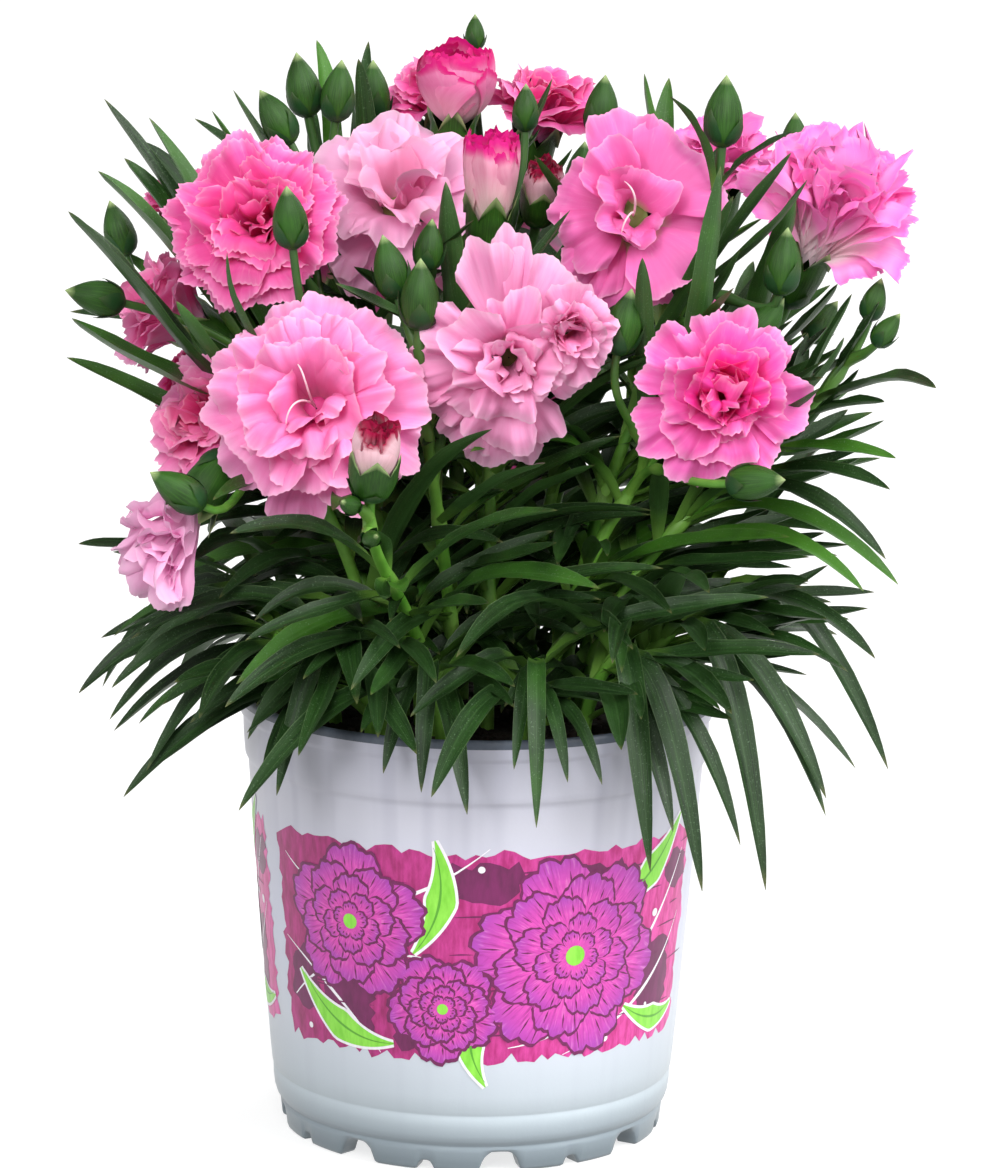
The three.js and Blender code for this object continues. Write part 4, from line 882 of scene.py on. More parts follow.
        (112, 0.74, 0.46, 40, 0.8, 0.09, 0.3), (320, 0.62, 0.4, 38, 0.5, 0.14, 0.4),
        (60, 0.6, 0.52, 38, 0.6, 0.12, 0.4), (160, 0.52, 0.52, 42, 0.6, 0.12, 0.5),
        (10, 0.44, 0.58, 40, 0.35, 0.14, 0.8), (250, 0.34, 0.54, 44, 0.35, 0.14, 0.8),
        (110, 0.26, 0.62, 44, 0.3, 0.14, 0.9),
    ],
}

# A second heart of bloom_front_centre, beside its throat.
ROSETTE = [
    (92, 0.98, 0.3, 34, 1, 0.1, 0), (30, 0.92, 0.34, 38, 0.9, 0.1, 0.1),
    (336, 0.92, 0.26, 36, 0.9, 0.11, 0.1), (282, 1.08, 0.2, 34, 1, 0.1, 0.1),
    (236, 0.8, 0.46, 38, 0.8, 0.12, 0.1), (140, 0.7, 0.6, 36, 0.6, 0.13, 0.2),
    (60, 0.62, 0.66, 38, 0.5, 0.14, 0.3), (350, 0.6, 0.62, 38, 0.5, 0.15, 0.3),
    (290, 0.56, 0.56, 40, 0.5, 0.15, 0.3), (200, 0.42, 0.74, 40, 0.4, 0.16, 0.5),
    (110, 0.4, 0.78, 40, 0.35, 0.16, 0.6), (20, 0.3, 0.76, 40, 0.3, 0.17, 0.7),
    (310, 0.24, 0.74, 40, 0.3, 0.17, 0.8), (150, 0.14, 0.8, 40, 0.25, 0.18, 0.9),
]

# Rules for the other blooms: layers of (number, reach, rise, spread, cup, pleat, inner).
LAYERS = {
    "full": [
        (8, 1.02, 0.14, 34, 1.4, 0.06, 0), (7, 0.92, 0.32, 36, 1.1, 0.07, 0.1),
        (6, 0.74, 0.46, 38, 0.9, 0.08, 0.3), (5, 0.54, 0.56, 40, 0.6, 0.1, 0.6),
        (4, 0.32, 0.6, 42, 0.4, 0.12, 0.8), (3, 0.14, 0.6, 42, 0.3, 0.14, 1),
    ],
    "fan": [
        (7, 1.02, 0.42, 38, 1.4, 0.05, 0), (5, 0.86, 0.66, 40, 1.2, 0.06, 0.1),
        (5, 0.62, 0.82, 38, 0.9, 0.08, 0.3), (4, 0.38, 0.92, 38, 0.6, 0.1, 0.6),
        (3, 0.17, 0.92, 38, 0.3, 0.12, 1),
    ],
    "cup": [
        (4, 0.88, 1.84, 56, 1.1, 0.02, 0), (4, 0.74, 1.86, 50, 1, 0.04, 0.3),
        (4, 0.54, 1.78, 40, 0.8, 0.08, 0.9), (4, 0.28, 1.72, 40, 0.5, 0.1, 1),
    ],
    "bud": [
        (5, 0.88, 2.46, 27, 0.9, 0.04, 0), (4, 0.72, 2.44, 24, 0.7, 0.08, 0.2),
        (4, 0.5, 2.5, 24, 0.5, 0.1, 0.8), (4, 0.24, 2.46, 24, 0.3, 0.12, 1),
    ],
    "tip": [
        (4, 0.74, 1.64, 52, 0.95, 0.02, 0), (5, 0.5, 1.52, 36, 0.3, 0.16, 1),
        (5, 0.34, 1.56, 36, 0.25, 0.18, 1), (4, 0.14, 1.54, 36, 0.25, 0.18, 1),
    ],
}

# Where a bloom's petals reach further than on its other side: by how much, and towards which angle.
LOPSIDED = {
    "bloom_left_upper": (0.14, 165),
    "bloom_left_side": (0.12, 250),
    "bloom_top_right": (0.15, 350),
}

# Palettes: throat, middle, rim and heart.
PALETTES = {
    "rose": ("#FAC4E0", "#FB94CE", "#FDB2DC", "#F0509F"),
    "salmon": ("#F0CCC2", "#F9AAD6", "#FBC2E2", "#E868A8"),
    "hot_heart": ("#F486C0", "#F870C2", "#FB9CD4", "#F00092"),
    "hot": ("#F08FC6", "#F25CAC", "#F88CC6", "#E2287E"),
    "pale": ("#F6CAD4", "#FAB6DE", "#FCC8E6", "#F0A0C4"),
    "clear": ("#CDD08C", "#F476BE", "#F78ECA", "#E8509E"),
    "claw": ("#FFEAEE", "#FE9CDA", "#FA6CC8", "#FA80CC"),
    "cup": ("#F8D6DC", "#EE86B8", "#DC1480", "#C4085E"),
    "edge": ("#F1E6D8", "#F2AAC4", "#DE1488", "#D81A78"),
    "crimson": ("#EBDCC8", "#F6CCD6", "#B01048", "#98083E"),
    "deep": ("#F8C0DA", "#F582BE", "#FAA2D0", "#D40A66"),
    "mauve": ("#FAE2EC", "#F8BEE2", "#FAC8E8", "#F090CC"),
}
RIMMED = ("cup", "edge", "crimson")
GREEN_EYED = ("clear", "salmon", "pale")

PETAL_ROWS = 13
PETAL_COLUMN = 0.85
FEWEST_COLUMNS, MOST_COLUMNS = 13, 43
PHASES = 6.28
THROAT_TAG = -1
LAYER_TURN = 137.5
STYLED = ("bloom_right_upper", "bloom_front_left")
ROSETTE_BLOOM = "bloom_front_centre"
ROSETTE_SHARE = 0.54
ROSETTE_PLACE = (0.22, 0.34, 0.6)

# Crowns that don't open flat: how far out their petals belly, and how far out and deep their claws stand.
CROWNS = {"cup": (1.12, (2.2, 2.5)), "tip": (1.2, (4.5, 6.0)), "bud": (0.95, (4.5, 6.0))}


def bloom_frame(axis):
    """The bloom's axis, then up and right as they look from in front of it."""
    level = vec([0, 0, 1]) if axis[2] < 0.8 else vec([0, 1, 0])
    up = unit(level - axis * (level @ axis))
    return axis, up, np.cross(up, axis)


def petal_path(first, depth, reach, rise, closed, share):
    """Radius, height and the inner normal along a petal's middle, by the distance from its claw."""
    u = np.linspace(0, 1, 60)
    if closed:
        belly = (reach * 0.3 + closed * min(1, 0.5 + 0.6 * share), rise * 0.46)
    else:
        belly = (first + 0.2 * (reach - first), rise * 1.05)
    r = (1 - u) ** 2 * first + 2 * u * (1 - u) * belly[0] + u**2 * reach
    z = (1 - u) ** 2 * -depth + 2 * u * (1 - u) * belly[1] + u**2 * rise
    dr, dz = np.gradient(r), np.gradient(z)
    step = np.hypot(dr, dz)
    far = np.concatenate([[0], np.cumsum(step[1:])])
    return far, r, z, -dz / step, dr / step


def add_petal(build, mouth, axes, radius, petal, tooth, draw, closed=0.0, claw=None):
    """One petal: a fan from its claw to a finely toothed rim, folded along its length and cupped."""
    axis, up, right = axes
    angle, reach, rise, spread, cup, pleat, inner = petal
    out = outward(right, up, math.radians(angle))
    across = outward(up, -right, math.radians(angle))
    outside = min(reach, 1) if inner else max(0.85, min(reach, 1))
    ring, depth = claw or (min(0.16 * radius, 4.2), 2.5)
    far, *path = petal_path(ring * (0.4 + 0.6 * outside), depth, reach * radius, rise * radius,
                            closed * radius, reach)
    length = far[-1]
    half = math.radians(spread)
    columns = int(np.clip(2 * length * half / PETAL_COLUMN, FEWEST_COLUMNS, MOST_COLUMNS)) // 2 * 2 + 1
    s = np.linspace(-1, 1, columns)
    t = (np.linspace(0, 1, PETAL_ROWS) ** 0.85)[:, None]
    phases = [PHASES * draw() for _ in range(6)]
    bays = 0.045 * np.sin(3.6 * s + phases[0]) + 0.03 * np.sin(8.5 * s + phases[1])
    shoulder = np.cos(s * half) ** -0.3 * (1 - 0.23 * np.abs(s) ** 3.6)
    teeth = vec([(-1) ** k * (0.25 + 0.9 * draw()) for k in range(columns)])
    rim = (shoulder + bays * smooth(0.5, 1, t)) * length + tooth * teeth * smooth(0.88, 1, t)
    distance = t * rim
    waves = 1.1 + 1.0 * draw()
    turn = s * half * (1 + 0.05 * np.sin(2 * t + phases[2]))
    x = distance * np.sin(turn)
    along = np.minimum(distance * np.cos(turn), length * 1.12)
    beyond = np.maximum(along - length, 0)
    r, z, normal_r, normal_z = [np.interp(along, far, values) for values in path]
    folds = np.sin(waves * math.pi * s + phases[3] + 0.9 * t) * smooth(0.15, 0.95, t)
    ruffle = 0.45 * np.sin(2.3 * waves * math.pi * s + phases[4] + 1.5 * t) * smooth(0.4, 1, t)
    ruffle = ruffle + 0.2 * np.sin(4.9 * waves * math.pi * s + phases[5]) * smooth(0.7, 1, t)
    bend = cup * radius
    curl = np.clip(x / bend, -1.5, 1.5)
    lift = pleat * distance * (folds + ruffle) + bend * (1 - np.cos(curl))
    lift = lift + (draw() - 0.5) * 0.14 * radius * smooth(0.2, 0.9, t) * s
    if not closed:
        lift = lift - (0.02 + 0.1 * draw()) * radius * smooth(0.72, 1, t) ** 2
    r = r + beyond * normal_z + normal_r * lift
    z = z - beyond * normal_r + normal_z * lift
    x = bend * np.sin(curl)
    points = mouth + out * r[..., None] + axis * z[..., None] + across * x[..., None]
    wave = 2 * math.pi / (1.3 * radius)
    swell = 0.03 * radius * smooth(0.15, 1, t)[..., None]
    points = points + swell * np.sin(points[..., [1, 2, 0]] * wave + vec(phases[:3]))
    build.grid(points, tags_of(s * 0.5 + 0.5, t, draw(), inner))


def add_throat(build, mouth, axes, radius, share):
    """The pale green bottom of the throat."""
    wide = min(0.17 * radius, 4.3) * share
    radii = vec([1.05, 0.8, 0.45, 0.05])[:, None] * wide * np.ones(12)
    heights = vec([-0.6, 0.5, 1.0, 1.2])[:, None]
    add_turned(build, mouth, axes, heights, radii, turns(12), 0, (0.5, 1, 0.5, THROAT_TAG))


def add_style(build, mouth, axes, radius, angle):
    """A pale curled style out of the throat."""
    axis, up, right = axes
    out, across = outward(right, up, angle), outward(up, -right, angle)
    start = mouth + axis * 0.1 * radius
    path = Curve(start, start + axis * 0.5 * radius + out * 0.02 * radius,
                 start + axis * 0.55 * radius + out * 0.18 * radius,
                 start + axis * 0.42 * radius + out * 0.3 * radius + across * 0.12 * radius)
    share = np.linspace(0, 1, 14)
    _, first, second = frames(path, share, level_across(path.start, path.end + vec([2, 0, 0])))
    width = np.interp(share, [0, 0.8, 1], [0.34, 0.26, 0.1])
    rings = ring_points(path.at(share), first, second, width, turns(6))
    build.grid(rings, (0.5, 0, 0.5, THROAT_TAG), around=True)


def layered(layers, draw, lopsided):
    """Petals by a rule, each layer turned against the one outside it."""
    more, side = lopsided
    petals = []
    turn = 360 * draw()
    for count, reach, rise, spread, cup, pleat, inner in layers:
        for k in range(count):
            angle = turn + (k + 0.35 * (draw() - 0.5)) * 360 / count
            far = reach * (1 + more * math.cos(math.radians(angle - side))) * (0.92 + 0.12 * draw())
            high = rise + 0.1 * (draw() - 0.5)
            fan = spread * (0.9 + 0.25 * draw())
            petals.append((angle, far, high, fan, cup, pleat * (0.8 + 0.4 * draw()), inner))
        turn += LAYER_TURN
    return petals


def make_bloom(bloom, number):
    """The petals of a bloom, laid one by one or by a rule, and what shows in its throat."""
    name, radius = bloom.name, bloom.radius
    draw = draws(BLOOM_SEED + number)
    build = Build()
    mouth = bloom_places(bloom)[1]
    axes = bloom_frame(BLOOM_AXIS[name])
    closed, claw = CROWNS.get(bloom.kind, (0, None))
    petals = PETALS.get(name) or layered(LAYERS[bloom.kind], draw, LOPSIDED.get(name, (0, 0)))
    for petal in petals:
        add_petal(build, mouth, axes, radius, petal, bloom.tooth, draw, closed, claw)
    if name == ROSETTE_BLOOM:
        aside = sum(way * share for way, share in zip(axes, ROSETTE_PLACE)) * radius
        for petal in ROSETTE:
            add_petal(build, mouth + aside, axes, radius * ROSETTE_SHARE, petal, bloom.tooth, draw)
    if not closed:
        add_throat(build, mouth, axes, radius, 0.5 if bloom.palette == "claw" else 1)
    if name in STYLED:
        for angle in (1.6, 3.8):
            add_style(build, mouth, axes, radius, angle)
    dress(build.piece(name + "_petals", [PETAL_PAINTS[bloom.palette]]), name)


# ---- Materials ----

PLASTIC_ROUGHNESS = 0.34
PLASTIC_IOR = 1.49


def linear(code):
    """A colour code as the linear colour that a shader takes."""
    values = [int(code[i:i + 2], 16) / 255 for i in (1, 3, 5)]
    return (*[v / 12.92 if v <= 0.04045 else ((v + 0.055) / 1.055) ** 2.4 for v in values], 1)


class Paint:
    """A material under construction, with short calls for its nodes; any colour is given by its code."""

    def __init__(self, name):
        self.material = bpy.data.materials.new(name)
        self.material.use_nodes = True
        self.tree = self.material.node_tree
        self.surface = self.tree.nodes["Principled BSDF"]

    def link(self, source, socket):
        if isinstance(source, str):
            source = linear(source)
        if isinstance(source, (int, float, tuple)):
            socket.default_value = source
        else:
            self.tree.links.new(source, socket)

    def node(self, kind, *sources):
        """A new node with its first inputs set or linked."""
        node = self.tree.nodes.new("ShaderNode" + kind)
        for source, socket in zip(sources, node.inputs):
            self.link(source, socket)
        return node

    def math(self, operation, first, second=0.0, third=0.0, clamp=False):
        node = self.node("Math", first, second, third)
        node.operation = operation
        node.use_clamp = clamp
        return node.outputs[0]

    def times(self, first, second):
        return self.math("MULTIPLY", first, second)

    def mix(self, factor, first, second, blend="MIX"):
        node = self.node("Mix", factor)
        node.data_type = "RGBA"
        node.blend_type = blend
        self.link(first, node.inputs[6])
        self.link(second, node.inputs[7])
        return node.outputs[2]

    def ramp(self, value, *stops):
        """What a value gives on a ramp through two or more stops of (place, level or colour)."""
        node = self.node("ValToRGB", value)
        elements = node.color_ramp.elements
        while len(elements) < len(stops):
            elements.new(0.5)
        for element, (place, level) in zip(elements, stops):
            element.position = place
            element.color = linear(level) if isinstance(level, str) else (level, level, level, 1)
        return node.outputs[0]

    def over(self, colour, tint, value, *stops):
        """The colour with a tint laid on it, as strong as the value's ramp gives."""
        return self.mix(self.ramp(value, *stops), colour, tint)

    def tag(self):
        """The four numbers that a mesh carries at each point."""
        node = self.node("Attribute")
        node.attribute_name = TAG
        parts = self.node("SeparateColor", node.outputs["Color"])
        return (*parts.outputs, node.outputs["Alpha"])

    def place(self):
        return self.node("TexCoord").outputs["Object"]

    def combine(self, x, y, z):
        return self.node("CombineXYZ", x, y, z).outputs[0]

    def split(self, vector):
        return self.node("SeparateXYZ", vector).outputs

    def off_middle(self, across):
        """0 in the middle of a leaf or petal to 1 along its sides."""
        return self.math("ABSOLUTE", self.math("MULTIPLY_ADD", across, 2.0, -1.0))

    def noise(self, vector, scale, detail=2.0, rough=0.5):
        """Noise at a place, or at a place that is given as its three parts."""
        node = self.node("TexNoise")
        vector = self.combine(*vector) if isinstance(vector, tuple) else vector
        self.link(vector, node.inputs["Vector"])
        node.inputs["Scale"].default_value = scale
        node.inputs["Detail"].default_value = detail
        node.inputs["Roughness"].default_value = rough
        return node.outputs[0]

    def bump(self, height, distance, strength=1.0):
        node = self.node("Bump", strength, distance)
        self.link(height, node.inputs["Height"])
        self.link(node.outputs[0], self.surface.inputs["Normal"])

    def finish(self, colour, roughness, **constants):
        self.link(colour, self.surface.inputs["Base Color"])
        self.link(roughness, self.surface.inputs["Roughness"])
        for name, value in constants.items():
            self.surface.inputs[name.replace("_", " ")].default_value = value
        return self.material


def leaf_material():
    paint = Paint("leaf")
    across, along, seed, upper = paint.tag()
    off = paint.off_middle(across)
    place = paint.place()
    cloud = paint.noise(place, 90, 3)
    # The seed tag holds a random tone, lower on leaves painted darker as shade.
    tone = paint.math("ADD", paint.times(seed, 0.75), paint.times(cloud, 0.5))
    colour = paint.ramp(tone, (0.2, "#081A07"), (0.6, "#132E0C"), (1.05, "#3E7318"))
    streak = paint.noise((paint.times(across, 16.0), paint.times(along, 1.4), seed), 2.2, 2)
    colour = paint.over(colour, "#42702C", streak, (0.35, 0.0), (0.75, 0.3))
    colour = paint.over(colour, "#466440", paint.noise(place, 45, 2), (0.35, 0.0), (0.75, 0.12))
    colour = paint.over(colour, "#7F9C7A", paint.noise(place, 2200, 1), (0.64, 0.0), (0.74, 0.3))
    colour = paint.over(colour, "#7DB043", along, (0.02, 0.9), (0.3, 0.0))
    colour = paint.over(colour, "#5F8A4E", off, (0.0, 0.16), (0.1, 0.0))
    colour = paint.over(colour, "#86A070", off, (0.93, 0.0), (0.99, 0.22))
    colour = paint.mix(upper, paint.mix(0.35, colour, "#466D34"), colour)
    colour = paint.over(colour, "#8A8454", along, (0.965, 0.0), (0.99, 0.25))
    paint.bump(streak, 0.0002, 0.5)
    return paint.finish(colour, paint.ramp(cloud, (0.3, 0.36), (0.8, 0.52)), IOR=1.36)


def stem_material():
    paint = Paint("stem")
    _, along, _, swell = paint.tag()
    place = paint.place()
    cloud = paint.noise(place, 120, 3)
    colour = paint.ramp(cloud, (0.3, "#4E8A28"), (0.7, "#7AB445"))
    colour = paint.mix(paint.times(swell, 0.5), colour, "#8DB55A")
    # Painted shade: the stems are darker higher up, where they run among the leaves and under the blooms.
    height = paint.math("DIVIDE", paint.split(place)[2], PLANT_TOP * MM)
    colour = paint.over(colour, "#21401F", height, (0.58, 0.0), (0.78, 0.85))
    colour = paint.over(colour, "#8CAE4C", along, (0.0, 0.35), (0.3, 0.0))
    paint.bump(cloud, 0.0002, 0.3)
    return paint.finish(colour, 0.45, IOR=1.42)


def calyx_material():
    paint = Paint("calyx")
    around, along, seed, body = paint.tag()
    place = paint.place()
    colour = paint.ramp(paint.noise(place, 110, 3), (0.3, "#112A07"), (0.72, "#234C10"))
    lines = paint.noise((paint.times(around, 14.0), paint.times(along, 1.2), seed), 2.5, 2)
    colour = paint.over(colour, "#467A24", lines, (0.4, 0.0), (0.7, 0.4))
    colour = paint.over(colour, "#356520", along, (0.05, 0.4), (0.4, 0.0))
    colour = paint.over(colour, "#4B7038", paint.noise(place, 60, 2), (0.4, 0.0), (0.75, 0.1))
    colour = paint.over(colour, "#B9CE8E", along, (0.86, 0.0), (0.97, 0.6))
    scale = paint.over("#1F4420", "#44552C", along, (0.55, 0.0), (0.95, 0.6))
    colour = paint.mix(paint.ramp(body, (0.6, 0.0), (0.9, 1.0)), scale, colour)
    paint.bump(lines, 0.0003, 0.4)
    return paint.finish(colour, 0.45, IOR=1.33)


def petal_material(palette):
    """Petals that let light through, each with veins, a throat, a rim and a darker heart."""
    throat, middle, rim, heart = PALETTES[palette]
    paint = Paint("petal_" + palette)
    across, along, seed, inner = paint.tag()
    pale_end = 0.42 if palette == "claw" else 0.14
    reach = 0.7 if palette in ("claw", *RIMMED) else 0.4
    colour = paint.ramp(along, (pale_end, throat), (reach, middle), (0.86, middle), (0.99, rim))
    depth = paint.math("MULTIPLY", paint.ramp(inner, (0.1, 0.0), (1.0, 1.0)),
                       paint.ramp(along, (0.45, 1.0), (0.98, 0.68)), clamp=True)
    colour = paint.mix(depth, colour, heart)
    fan = (paint.times(across, 11.0), paint.times(along, 1.3), paint.times(seed, 30.0))
    vein = paint.noise(fan, 2.4, 3, 0.6)
    colour = paint.over(colour, heart, vein, (0.3, 0.16), (0.55, 0.0))
    colour = paint.over(colour, "#FBDDEA", vein, (0.58, 0.0), (0.85, 0.22))
    if palette in RIMMED:
        sides = paint.times(paint.ramp(paint.off_middle(across), (0.84, 0.0), (0.98, 0.45)),
                            paint.ramp(along, (0.35, 0.0), (0.75, 1.0)))
        edge = paint.math("MAXIMUM", paint.ramp(along, (0.84, 0.0), (0.97, 0.95)), sides)
        if palette == "crimson":
            edge = paint.times(edge, inner)
        colour = paint.mix(edge, colour, rim)
    else:
        colour = paint.over(colour, "#FBD5E6", along, (0.965, 0.0), (0.995, 0.3))
    shade = paint.math("MULTIPLY_ADD", seed, 0.12, 0.92)
    colour = paint.mix(1.0, colour, paint.combine(shade, shade, shade), "MULTIPLY")
    eye = "#7F8D4E" if palette in GREEN_EYED else heart
    pale = paint.ramp(along, (0.0, "#F4DDE2"), (1.0, eye))
    colour = paint.mix(paint.math("LESS_THAN", inner, -0.5), colour, pale)
    paint.bump(vein, 0.00025, 0.4)
    material = paint.finish(colour, 0.55, IOR=1.38, Sheen_Weight=0.06, Sheen_Roughness=0.4)
    through = paint.node("BsdfTranslucent", colour)
    both = paint.node("MixShader", 0.28, paint.surface.outputs[0], through.outputs[0])
    paint.link(both.outputs[0], paint.tree.nodes["Material Output"].inputs["Surface"])
    return material


def pot_material():
    paint = Paint("pot_white")
    place = paint.place()
    x, y, z = paint.split(place)
    height = paint.math("DIVIDE", z, RIM_Z * MM)
    # Painted shade: the wall is darker towards the foot, and a little darker near the rim under the leaves.
    colour = paint.ramp(height, (0.02, "#77838A"), (0.07, "#929EA6"), (0.13, "#B6C1C8"), (0.3, "#CDD3DD"),
                        (0.5, "#CFD2E3"), (0.8, "#CACAD6"), (0.97, "#BABAC8"))
    # Painted leaf shadows: soft darker vertical bars round the upper wall, strongest near the rim.
    turn = paint.math("ARCTAN2", y, x)
    painted_leaf_shadows = paint.noise((paint.times(turn, 7.0), paint.times(z, 3.0), 0.0), 1.3, 1)
    high = paint.ramp(height, (0.6, 0.1), (0.95, 0.7))
    shade = paint.times(paint.ramp(painted_leaf_shadows, (0.5, 0.0), (0.72, 0.5)), high)
    colour = paint.mix(shade, colour, "#82829A")
    paint.bump(paint.noise(place, 900, 3), 0.00006, 0.4)
    return paint.finish(colour, PLASTIC_ROUGHNESS, IOR=PLASTIC_IOR)


def lip_material():
    paint = Paint("pot_grey")
    grain = paint.noise(paint.place(), 600, 3)
    colour = paint.mix(grain, "#3F4653", "#59616E")
    paint.bump(grain, 0.00006, 0.4)
    return paint.finish(colour, 0.42, IOR=PLASTIC_IOR)


def print_material(name, first, second):
    """Printed paint brushed from one colour to another; the panel turns pink to its right."""
    paint = Paint(name)
    around, height, _, _ = paint.tag()
    brush = paint.noise((paint.times(around, 60.0), paint.times(height, 9.0), 0.0), 1.6, 4, 0.6)
    colour = paint.over(first, second, brush, (0.34, 0.0), (0.66, 1.0))
    if name == "print_panel":
        warm = paint.over("#C0237C", "#E24FA8", brush, (0.38, 0.0), (0.62, 1.0))
        colour = paint.over(colour, warm, around, (0.34, 0.0), (0.8, 1.0))
    return paint.finish(colour, PLASTIC_ROUGHNESS, IOR=PLASTIC_IOR)


def blossom_material():
    """Printed petals: darker towards the middle, with strokes that run outwards."""
    paint = Paint("print_blossom")
    around, height, out, turn = paint.tag()
    colour = paint.ramp(out, (0.0, "#AE1C78"), (0.35, "#DE4AAC"), (0.75, "#D84EB4"), (1.0, "#A442AE"))
    stroke = paint.noise((paint.times(turn, 70.0), paint.times(out, 2.6), 0.0), 1.3, 3, 0.6)
    colour = paint.over(colour, "#86186A", stroke, (0.3, 0.75), (0.47, 0.0))
    colour = paint.over(colour, "#F2AEDA", stroke, (0.56, 0.0), (0.78, 0.6))
    wash = paint.noise((paint.times(around, 40.0), paint.times(height, 24.0), 0.0), 1.5, 4)
    colour = paint.over(colour, "#B03298", wash, (0.4, 0.35), (0.62, 0.0))
    return paint.finish(colour, PLASTIC_ROUGHNESS, IOR=PLASTIC_IOR)


def soil_material():
    paint = Paint("soil_peat")
    grain = paint.noise(paint.place(), 380, 5, 0.65)
    colour = paint.ramp(grain, (0.3, "#120C09"), (0.6, "#2A1D15"), (0.8, "#4A3828"))
    paint.bump(grain, 0.001, 0.9)
    return paint.finish(colour, 0.95)


def floor_material():
    paint = Paint("floor_paper")
    colour = paint.mix(paint.noise(paint.place(), 40, 2), "#9C9C9C", "#A2A2A2")
    return paint.finish(colour, 0.9, Emission_Color=(1, 1, 1, 1), Emission_Strength=0.72)

# ---- Pot ----

# Arches between the feet and smaller notches in them: direction, half width and height.
NOTCHES = [(math.radians(9 + 45 * i), 5.5, 5.6) for i in range(8)]
NOTCHES += [(math.radians(31.5 + 45 * i), 2.3, 2.6) for i in range(8)]
NOTCH_RADIUS = 50
NOTCH_TOP = 6.4
POT_COLUMNS = 512
HOLE_SIDES = 20
FLOOR_SIDES = 128
FLOOR_STEP = 9
MERGED_WITHIN = 1e-4

# Outside of the pot from the foot up, radius and height; then the lip and the inside of the foot.
OUTSIDE = [
    (51.6, 0), (52.3, 0.4), (52.6, 1.2), (53.1, 5.4), (53.2, 6.5), (52.9, 6.9), (53.0, 7.4), (53.6, 8.0),
    (54.3, 9.0), (54.8, 10.6), (55.1, 13.0), (55.2, 15.6), (54.95, 16.1), (55.1, 16.6), (55.5, 17.4),
    (56.0, 22), (57.0, 33), (58.2, 48), (59.5, 64), (60.7, 78), (61.8, 92), (62.6, 102.6), (62.75, 103.6),
    (63.2, 104.2), (63.5, 104.9), (63.7, 106.5), (64.0, 111), (64.15, 115.4), (64.3, 116.0), (64.85, 116.5),
    (65.0, 117.2), (65.05, 118.6), (65.05, 119.6),
]
LIP = [
    (65.05, 119.6), (65.0, 120.8), (64.7, 121.6), (64.1, 122.0), (63.4, 121.8), (62.9, 121.0),
    (62.5, 119.2), (62.2, 116.0), (61.9, 108.0),
]
INNER_FOOT = [(51.6, 0), (46.6, 0), (46.1, 1.5), (45.6, 6.6), (45.2, 7.0)]


def notch_height(angles):
    """How far the pot's foot is cut away at each angle."""
    height = np.zeros(len(angles))
    for centre, half, tall in NOTCHES:
        away = np.abs((angles - centre + math.pi) % (2 * math.pi) - math.pi) * NOTCH_RADIUS
        arch = np.interp(away / half, [0, 0.42, 0.6, 0.82, 0.95, 1.05], [1, 0.98, 0.86, 0.6, 0.2, 0])
        height = np.maximum(height, tall * arch)
    return height


def pot_grid(build, profile, slot, flip=False):
    """A ring of the pot; what lies below the notches' top rises with them."""
    angles = turns(POT_COLUMNS)
    points = level_rings(profile, angles)
    lift = notch_height(angles)
    z = points[..., 2]
    points[..., 2] = np.where(z < NOTCH_TOP, lift + z * (1 - lift / NOTCH_TOP), z)
    build.grid(points, PLAIN, slot, around=True, flip=flip)


def circle(x, y, radius, sides=24):
    return [(x + radius * math.cos(a), y + radius * math.sin(a)) for a in turns(sides)]


def is_inside(point, outline):
    """Whether a point lies inside a closed outline: its level line crosses an odd number of edges."""
    inside = False
    for (x0, y0), (x1, y1) in zip(outline, outline[1:] + outline[:1]):
        if (y0 > point[1]) != (y1 > point[1]) and point[0] < (x1 - x0) * (point[1] - y0) / (y1 - y0) + x0:
            inside = not inside
    return inside


def flat_patch(outline, holes, step):
    """Triangles over a flat outline with round holes, with points inside it so that it can be curved."""
    points, edges = [], []
    for ring in (outline, *[circle(*hole, HOLE_SIDES) for hole in holes]):
        first, count = len(points), len(ring)
        points += ring
        edges += [(first + i, first + (i + 1) % count) for i in range(count)]
    low, high = np.min(outline, axis=0), np.max(outline, axis=0)
    for x in np.arange(low[0] + step / 2, high[0], step):
        points += [(x, y) for y in np.arange(low[1] + step / 2, high[1], step)]
    points = [Vector(p) for p in points]
    verts, _, faces, _, _, _ = geometry.delaunay_2d_cdt(points, edges, [], 0, MERGED_WITHIN)
    kept = []
    for face in faces:
        centre = sum((verts[i] for i in face), Vector((0, 0))) / 3
        holed = any((centre - Vector((x, y))).length < radius for x, y, radius in holes)
        if not holed and is_inside(centre, outline):
            kept.append(face)
    return verts, kept


def make_pot():
    build = Build()
    pot_grid(build, OUTSIDE, 0)
    pot_grid(build, LIP, 1)
    pot_grid(build, INNER_FOOT, 0, flip=True)
    places = [(0, 0)] + circle(0, 0, DRAIN_CIRCLE, 4)
    holes = [(x, y, DRAIN_RADIUS) for x, y in places]
    verts, faces = flat_patch(circle(0, 0, INNER_FOOT[-1][0], FLOOR_SIDES), holes, FLOOR_STEP)
    build.patch(vec([(*v, FLOOR_Z) for v in verts]), [face[::-1] for face in faces], PLAIN)
    for hole in holes:
        rows = [[(*p, z) for p in circle(*hole, HOLE_SIDES)] for z in (FLOOR_Z, FLOOR_TOP_Z)]
        build.grid(vec(rows), PLAIN, around=True, flip=True)
    dress(build.piece("pot_moulded", [pot_material(), lip_material()]), "pot")


# ---- The print on the pot: plain blossoms, leaves and sweeps on a brushed panel ----

PRINT_RADIUS = 59.0
PRINT_LIFT = 0.06
LAYER_RISE = 0.03
DECAL_STEP = 3.0
SCRATCHES = 60
DOTS = 16
